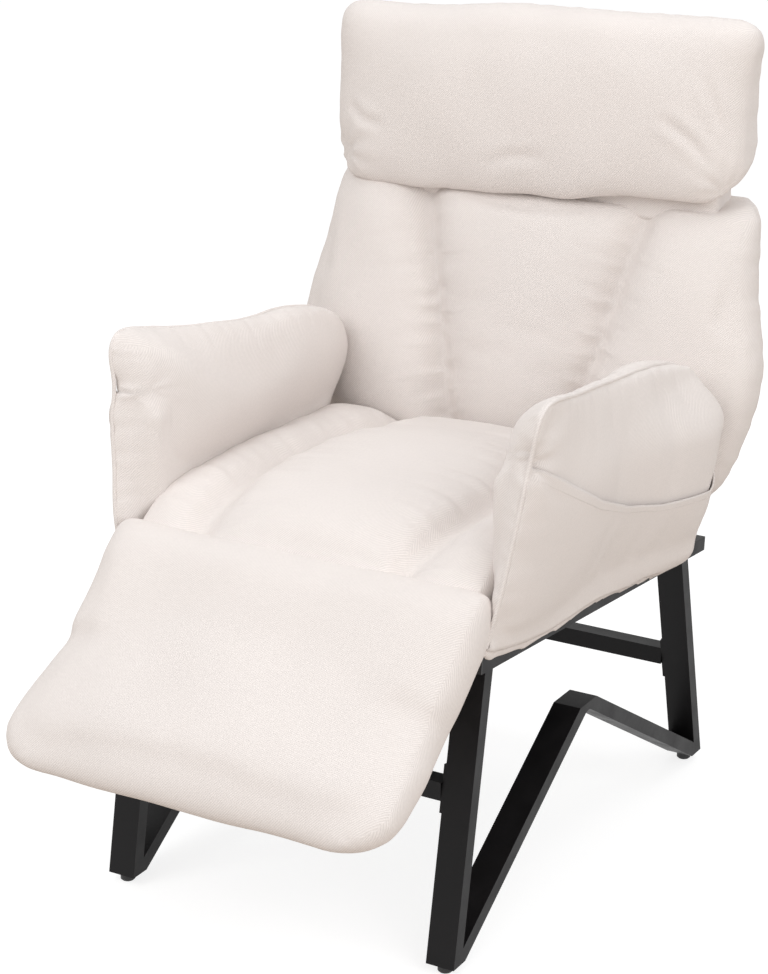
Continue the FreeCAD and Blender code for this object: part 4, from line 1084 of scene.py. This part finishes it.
def stitch_tree():
    """Thread stitches laid end to end along a path."""
    known = bpy.data.node_groups.get("thread_stitches")
    if known:
        return known
    tree, inside, outside = new_tree("thread_stitches", ("Pitch", "Length", "Width"))
    path = new_node(tree, "GeometryNodeMeshToCurve")
    spots = new_node(tree, "GeometryNodeCurveToPoints", mode="LENGTH")
    turn = new_node(tree, "FunctionNodeAlignRotationToVector", axis="X")
    bead = new_node(tree, "GeometryNodeMeshUVSphere", {"Segments": 6, "Rings": 4, "Radius": 0.5})
    size = new_node(tree, "ShaderNodeCombineXYZ")
    shape = new_node(tree, "GeometryNodeTransform")
    place = new_node(tree, "GeometryNodeInstanceOnPoints")
    wire(tree,
         (inside, "Geometry", path, "Mesh"), (path, "Curve", spots, "Curve"),
         (inside, "Pitch", spots, "Length"), (spots, "Tangent", turn, "Vector"),
         (inside, "Length", size, "X"), (inside, "Width", size, "Y"), (inside, "Width", size, "Z"),
         (bead, "Mesh", shape, "Geometry"), (size, "Vector", shape, "Scale"),
         (spots, "Points", place, "Points"), (shape, "Geometry", place, "Instance"),
         (turn, "Rotation", place, "Rotation"))
    end_tree(tree, inside, outside, place, "Instances")
    return tree


def follow_path(name, line, body, tree, values):
    """Makes a piece with a geometry tree along a line of points, and leaves it as a plain mesh."""
    mesh = bpy.data.meshes.new(name)
    mesh.from_pydata(line.tolist(), [(i, i + 1) for i in range(len(line) - 1)], [])
    piece = add_object(name, mesh)
    nodes = piece.modifiers.new("path", "NODES")
    nodes.node_group = tree
    values["Material"] = cover_cloth()
    for item in tree.interface.items_tree:
        if item.in_out == "INPUT" and item.name in values:
            nodes[item.identifier] = values[item.name]
    made = plain_mesh(piece)
    if len(made.polygons) == 0:
        raise RuntimeError(name + " has no faces")
    dress(piece)
    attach(piece, body)


class RECLINER_OT_piping(bpy.types.Operator):
    """Sew the piped edge round the outer panel of each arm"""

    bl_idname = "recliner.piping"
    bl_label = "Arm piping"

    def execute(self, context):
        for label in ("left", "right"):
            side = side_of(label)
            edge = curve_points([arm_outer(side, y, z) for y, z in ARM_EDGE], 0.006)
            line = onto(made_arm(label), edge, 0.6 * MM)
            count = len(line)
            pairs = np.array([(i, i + 1) for i in range(count - 1)])
            weight = np.ones(count)
            weight[[0, -1]] = 0.0
            line = relaxed(line, pairs, 6, weight)
            follow_path(label + "_arm_piping", line, "base", piping_tree(), {
                "Radius": sizes().piping, "Step": 5 * MM})
        return {"FINISHED"}


# The back's sewn channel on one side, by its distance up from the hinge and out from the middle, in mm
BACK_CHANNEL = ((18, 88), (48, 92), (110, 104), (180, 119), (250, 136), (330, 157), (390, 172), (415, 178))
BACK_WIDER = 14 * MM
BACK_MIDDLE = BACK_AXIS + UP_BACK * 0.2
BACK_SEAM = BEHIND_BACK * 0.022


class RECLINER_OT_back(bpy.types.Operator):
    """Make the back cushion with its two sewn channels"""

    bl_idname = "recliner.back"
    bl_label = "Back cushion"

    def execute(self, context):
        piece = pad_from("back_pad", ["back_cushion", "back_rear_pad"])
        points = points_of(piece.data)
        x, y, z = points.T
        x += np.sign(x) * (BACK_WIDER * eased(np.abs(x), 0.15, 0.30) * eased(z, 0.50, 0.65))
        set_points(piece.data, points)
        lines = []
        held = np.zeros(len(points))
        for side in (-1, 1):
            line = onto(piece, curve_points([at_back(side * out, up, -45) for up, out in BACK_CHANNEL]))
            lines.append(line)
            held = np.maximum(held, 0.8 * bell(near_line(points, line)[0], 10 * MM))
        swell(piece, held, 3 * MM, 0.02, 16 * MM)
        finer(piece)
        for index, line in enumerate(lines):
            crease(piece, line, 18 * MM, 17 * MM, BEHIND_BACK, 0.2, 2.0 + index)
            crease(piece, line, 16 * MM, 7 * MM, BEHIND_BACK)
        sew(piece, rim(piece, BACK_MIDDLE, UP_BACK, BACK_SEAM), 5 * MM, 0.04, 8.0)
        soften(piece, 2.5 * MM, 0.1, 5.0)
        dress(piece)
        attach(piece, "backrest")
        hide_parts("back_cushion", "back_rear_pad")
        return {"FINISHED"}


# How far the pillow hangs, how much further and longer it is at one end, and its drawn-out upper corners
PILLOW_HANG = 26 * MM
PILLOW_END_HANG = 10 * MM
PILLOW_END_LONGER = 14 * MM
PILLOW_CORNER = (12 * MM, 10 * MM)
PILLOW_MIDDLE = HEAD_AXIS + UP_HEAD * 0.09
PILLOW_SEAM = BEHIND_HEAD * 0.012
PILLOW_TILT_CENTRE = HEAD_AXIS + UP_HEAD * 0.1

# Wrinkles of the pillow: places on the headrest, depth and width, in mm
PILLOW_FOLDS = (
    (((200, 92, -75), (250, 60, -75), (285, 20, -70)), 3, 7),
    (((262, 150, -75), (280, 110, -75), (292, 80, -72)), 2.5, 6),
    (((-295, 60, -70), (-262, 40, -75), (-225, 35, -75)), 2.5, 7),
    (((-60, -5, -78), (-20, 12, -76), (40, 18, -76)), 2, 8))


class RECLINER_OT_pillow(bpy.types.Operator):
    """Make the head pillow, which hangs a little to one side"""

    bl_idname = "recliner.pillow"
    bl_label = "Head pillow"

    def execute(self, context):
        piece = pad_from("head_pillow", ["head_cushion", "head_rear_pad"])
        mesh = piece.data
        points = points_of(mesh)
        self.hang(points)
        set_points(mesh, points)
        front = -(normals_of(mesh) @ np.array(BEHIND_HEAD))
        swell(piece, 0.7 * (1.0 - ramp(front, 0.2, 0.6)), 3 * MM, 0.008, 16 * MM, pressure=6.0, calm=22)
        finer(piece)
        self.gather(piece)
        sew(piece, rim(piece, PILLOW_MIDDLE, UP_HEAD, PILLOW_SEAM), 5 * MM, 0.04, 6.0)
        soften(piece, 4 * MM, 0.12, 7.0)
        dress(piece)
        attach(piece, "headrest")
        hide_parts("head_cushion", "head_rear_pad")
        return {"FINISHED"}

    def hang(self, points):
        """Lets the pillow's front hang over the back, more at one end, and tilts it."""
        x, y, z = points.T
        away = points - np.array(HEAD_AXIS)
        hang = eased(away @ np.array(UP_HEAD), 0.06, -0.02) * eased(away @ np.array(BEHIND_HEAD), 0.01, -0.04)
        slack = PILLOW_HANG + PILLOW_END_HANG * eased(x, 0.0, -0.25)
        points -= np.outer(hang * slack, np.array(UP_HEAD))
        x -= PILLOW_END_LONGER * eased(x, -0.12, -0.28)
        middle = PILLOW_TILT_CENTRE
        tilt = sizes().pillow_tilt
        across = x - middle.x
        height = z - middle.z
        x[:] = middle.x + across * math.cos(tilt) - height * math.sin(tilt)
        z[:] = middle.z + across * math.sin(tilt) + height * math.cos(tilt)

    def gather(self, piece):
        """Wavy lower edge, drawn-out upper corners, gathered lower corners and loose wrinkles."""
        points = points_of(piece.data)
        low = bell((points - at_head(0, -30, -45)) @ np.array(UP_HEAD), 40 * MM)
        points[:, 2] += 5 * MM * low * ripple(points[:, 0], 0.19, 2.0)
        for side in (-1, 1):
            near = bell(np.linalg.norm(points - at_head(side * 308, 205, -30), axis=1), 50 * MM)
            points += np.outer(near, np.array((side * PILLOW_CORNER[0], 0.0, PILLOW_CORNER[1])))
        set_points(piece.data, points)
        for side in (-1, 1):
            corner = onto(piece, [at_head(side * 300, -10, -50)])[0]
            pinch(piece, corner, 7 * MM, 0.09, 7, 0.5 + side)
        for spots, depth, width in PILLOW_FOLDS:
            fold(piece, [at_head(*spot) for spot in spots], depth * MM, width * MM)


NECK_HALF = 0.272


class RECLINER_OT_neck(bpy.types.Operator):
    """Close the gap under the pillow with a fabric neck"""

    bl_idname = "recliner.neck"
    bl_label = "Neck cover"

    def execute(self, context):
        profile = on_side(
            at_back(0, 385, -16), at_back(0, 425, -22), at_head(0, 10, -30), at_head(0, 50, -30),
            at_head(0, 50, 34), at_head(0, 10, 36), at_back(0, 425, 36), at_back(0, 385, 34))
        piece = pad_from("neck_cover", [], [(profile, NECK_HALF)])
        finer(piece)
        soften(piece, 3 * MM, 0.07, 11.0)
        dress(piece)
        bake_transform(piece)
        return {"FINISHED"}


# The hinge cover's profile (y, z) at the seat and below the hinge, in metres
HINGE_AT_SEAT = [(0.255, 0.386), (0.255, 0.472)]
HINGE_BELOW = [(0.371, 0.452), (0.368, 0.408), (0.345, 0.384), (0.300, 0.378)]
HINGE_HALF = 0.263


class RECLINER_OT_hinge(bpy.types.Operator):
    """Cover the back hinge with fabric that runs from the seat to the foot of the back"""

    bl_idname = "recliner.hinge"
    bl_label = "Hinge cover"

    def execute(self, context):
        profile = HINGE_AT_SEAT + on_side(at_back(0, 66, -30), at_back(0, 66, 34)) + HINGE_BELOW
        piece = pad_from("hinge_cover", [], [(profile, HINGE_HALF)])
        mesh = piece.data
        points = points_of(mesh)
        set_points(mesh, relaxed(points, edges_of(mesh), 6, np.ones(len(points))))
        finer(piece)
        soften(piece, 3 * MM, 0.06, 13.0)
        dress(piece)
        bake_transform(piece)
        return {"FINISHED"}


# The cover over the knee, by (y behind the seat's front, z) in metres, and how the toe is carried on
KNEE_PROFILE = ((0.020, 0.415), (0.026, 0.486), (0.006, 0.503), (-0.014, 0.497))
KNEE_HALF = 0.279
TOE_WIDER = 8 * MM
TOE_NARROWER = 6 * MM
TOE_FORWARD = 22 * MM
TOE_UP = 11 * MM


class RECLINER_OT_footrest(bpy.types.Operator):
    """Make the footrest pad, whose cover runs on to the front of the seat"""

    bl_idname = "recliner.footrest"
    bl_label = "Footrest pad"

    def execute(self, context):
        seat_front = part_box("seat_cushion")[0].y
        knee = on_side(at_foot(0, 90, 36), at_foot(0, 70, -34), at_foot(0, 0, -34))
        knee += [(seat_front + behind, z) for behind, z in KNEE_PROFILE]
        knee += on_side(at_foot(0, -30, 44), at_foot(0, 10, 41))
        piece = pad_from("footrest_pad", ["foot_cushion", "foot_under_pad"], [(knee, KNEE_HALF)])
        mesh = piece.data
        points = points_of(mesh)
        upper_from = at_foot(0, 150, 0)[1]
        upper = eased(points[:, 1], upper_from, upper_from + 0.06)
        set_points(mesh, relaxed(points, edges_of(mesh), 16, upper))
        points = points_of(mesh)
        x, y, z = points.T
        toe_from = at_foot(0, 50, 0)[1]
        toe = eased(y, toe_from, toe_from - 0.10)
        x += toe * np.clip(x / 0.25, -1.0, 1.0) * np.where(x < 0.0, TOE_WIDER, -TOE_NARROWER)
        reach = eased((points - np.array(FOOT_AXIS)) @ np.array(DOWN_FOOT), 0.05, 0.27)
        y -= TOE_FORWARD * reach
        z += TOE_UP * reach
        set_points(mesh, points)
        swell(piece, ramp(y, seat_front - 0.002, seat_front + 0.018), 3 * MM, 0.01, 11 * MM, calm=8)
        finer(piece)
        soften(piece, 3 * MM, 0.1, 9.0)
        dress(piece, 0.6 * FOOT_SLOPE)
        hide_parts("foot_cushion", "foot_under_pad")
        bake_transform(piece)
        return {"FINISHED"}


# Soft boxes: name, place, aim, size in metres and power in watts
LAMPS = (
    ("key", (-1.2, -2.7, 3.2), (0.0, 0.0, 0.5), 2.6, 61.0),
    ("fill", (2.9, -1.2, 1.9), (0.0, 0.0, 0.5), 2.2, 38.0),
    ("top", (0.3, 0.6, 3.2), (0.0, 0.1, 0.5), 2.4, 20.0))
CAMERA_PLACE = (1.66474, -2.87592, 1.68517)
CAMERA_AIM = (0.00029, -0.02125, 0.51945)
CAMERA_LENS = 98.67
FLOOR_SIZE = 14.0
FLOOR_BOUNCE = (0.62, 0.55, 0.49, 1.0)
FLOOR_SEEN = (0.36, 0.36, 0.36, 1.0)
FLOOR_GLOW = 0.79
WORLD_LIGHT = 0.60


class RECLINER_OT_stage(bpy.types.Operator):
    """Set the floor, the soft studio light and the camera"""

    bl_idname = "recliner.stage"
    bl_label = "Stage"

    def execute(self, context):
        scene = context.scene
        scene.view_settings.view_transform = "Standard"
        self.floor()
        self.world(scene)
        for name, place, aim, size, power in LAMPS:
            data = bpy.data.lights.new(name, "AREA")
            data.shape = "SQUARE"
            data.size = size
            data.energy = power
            self.aimed(name, data, place, aim)
        data = bpy.data.cameras.new("camera")
        data.sensor_width = 36.0
        data.lens = CAMERA_LENS
        scene.camera = self.aimed("camera", data, CAMERA_PLACE, CAMERA_AIM)
        return {"FINISHED"}

    def aimed(self, name, data, place, aim):
        """A lamp or camera that looks from a place to a point."""
        thing = add_object(name, data)
        thing.location = place
        thing.rotation_mode = "QUATERNION"
        thing.rotation_quaternion = (Vector(aim) - Vector(place)).to_track_quat("-Z", "Y")
        return thing

    def part_looks(self, tree, lit, seen, end):
        """Lights with one shader, and shows the other to the camera, reflections and glass."""
        path = new_node(tree, "ShaderNodeLightPath")
        first = new_node(tree, "ShaderNodeMath", operation="MAXIMUM")
        second = new_node(tree, "ShaderNodeMath", operation="MAXIMUM")
        choose = new_node(tree, "ShaderNodeMixShader")
        wire(tree,
             (path, "Is Camera Ray", first, 0), (path, "Is Glossy Ray", first, 1), (first, 0, second, 0),
             (path, "Is Transmission Ray", second, 1), (second, 0, choose, 0), (lit, 0, choose, 1),
             (seen, 0, choose, 2), (choose, 0, tree.nodes[end], "Surface"))

    def floor(self):
        """A wide pale floor that keeps the chair's shadow."""
        work = bmesh.new()
        bmesh.ops.create_grid(work, x_segments=8, y_segments=8, size=FLOOR_SIZE)
        mesh = bpy.data.meshes.new("floor")
        work.to_mesh(mesh)
        work.free()
        floor = add_object("floor", mesh)
        material, tree, shader = blank_material("pale_floor")
        set_inputs(shader, {"Base Color": FLOOR_BOUNCE, "Roughness": 1.0, "Specular IOR Level": 0.0})
        pale = new_node(tree, "ShaderNodeBsdfDiffuse", {"Color": FLOOR_SEEN})
        glow = new_node(tree, "ShaderNodeEmission", {"Color": WHITE, "Strength": FLOOR_GLOW})
        both = new_node(tree, "ShaderNodeAddShader")
        wire(tree, (pale, 0, both, 0), (glow, 0, both, 1))
        self.part_looks(tree, shader, both, "Material Output")
        mesh.materials.append(material)

    def world(self, scene):
        """Even light from all round, and white where it is seen directly."""
        world = bpy.data.worlds.new("studio")
        scene.world = world
        world.use_nodes = True
        tree = world.node_tree
        soft = tree.nodes["Background"]
        set_inputs(soft, {"Color": WHITE, "Strength": WORLD_LIGHT})
        white = new_node(tree, "ShaderNodeBackground", {"Color": WHITE, "Strength": 1.0})
        self.part_looks(tree, soft, white, "World Output")


OPERATORS = (
    RECLINER_OT_finishes, RECLINER_OT_seat, RECLINER_OT_arms, RECLINER_OT_pockets, RECLINER_OT_piping,
    RECLINER_OT_back, RECLINER_OT_pillow, RECLINER_OT_neck, RECLINER_OT_hinge, RECLINER_OT_footrest,
    RECLINER_OT_stage)


class RECLINER_PT_panel(bpy.types.Panel):
    """Lists the sizes, colours and pieces of the recliner"""

    bl_label = "Recliner"
    bl_idname = "RECLINER_PT_panel"
    bl_space_type = "VIEW_3D"
    bl_region_type = "UI"
    bl_category = "Recliner"

    def draw(self, context):
        layout = self.layout
        for group in (context.scene.recliner_sizes, context.scene.recliner_colours):
            for key in group.__annotations__:
                layout.prop(group, key)
        for operator in OPERATORS:
            layout.operator(operator.bl_idname)


CLASSES = (RECLINER_PG_sizes, RECLINER_PG_colours, *OPERATORS, RECLINER_PT_panel)


def register():
    """Registers the classes and the scene's own values."""
    for kind in CLASSES:
        bpy.utils.register_class(kind)
    bpy.types.Scene.recliner_sizes = bpy.props.PointerProperty(type=RECLINER_PG_sizes)
    bpy.types.Scene.recliner_colours = bpy.props.PointerProperty(type=RECLINER_PG_colours)


def unregister():
    """Takes the classes and values away again."""
    del bpy.types.Scene.recliner_colours
    del bpy.types.Scene.recliner_sizes
    for kind in reversed(CLASSES):
        bpy.utils.unregister_class(kind)


def main():
    """Builds every piece in order."""
    register()
    bpy.ops.recliner.finishes()
    bpy.ops.recliner.seat()
    bpy.ops.recliner.arms()
    bpy.ops.recliner.pockets()
    bpy.ops.recliner.piping()
    bpy.ops.recliner.back()
    bpy.ops.recliner.pillow()
    bpy.ops.recliner.neck()
    bpy.ops.recliner.hinge()
    bpy.ops.recliner.footrest()
    bpy.ops.recliner.stage()
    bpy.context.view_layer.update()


if __name__ == "__main__":
    main()
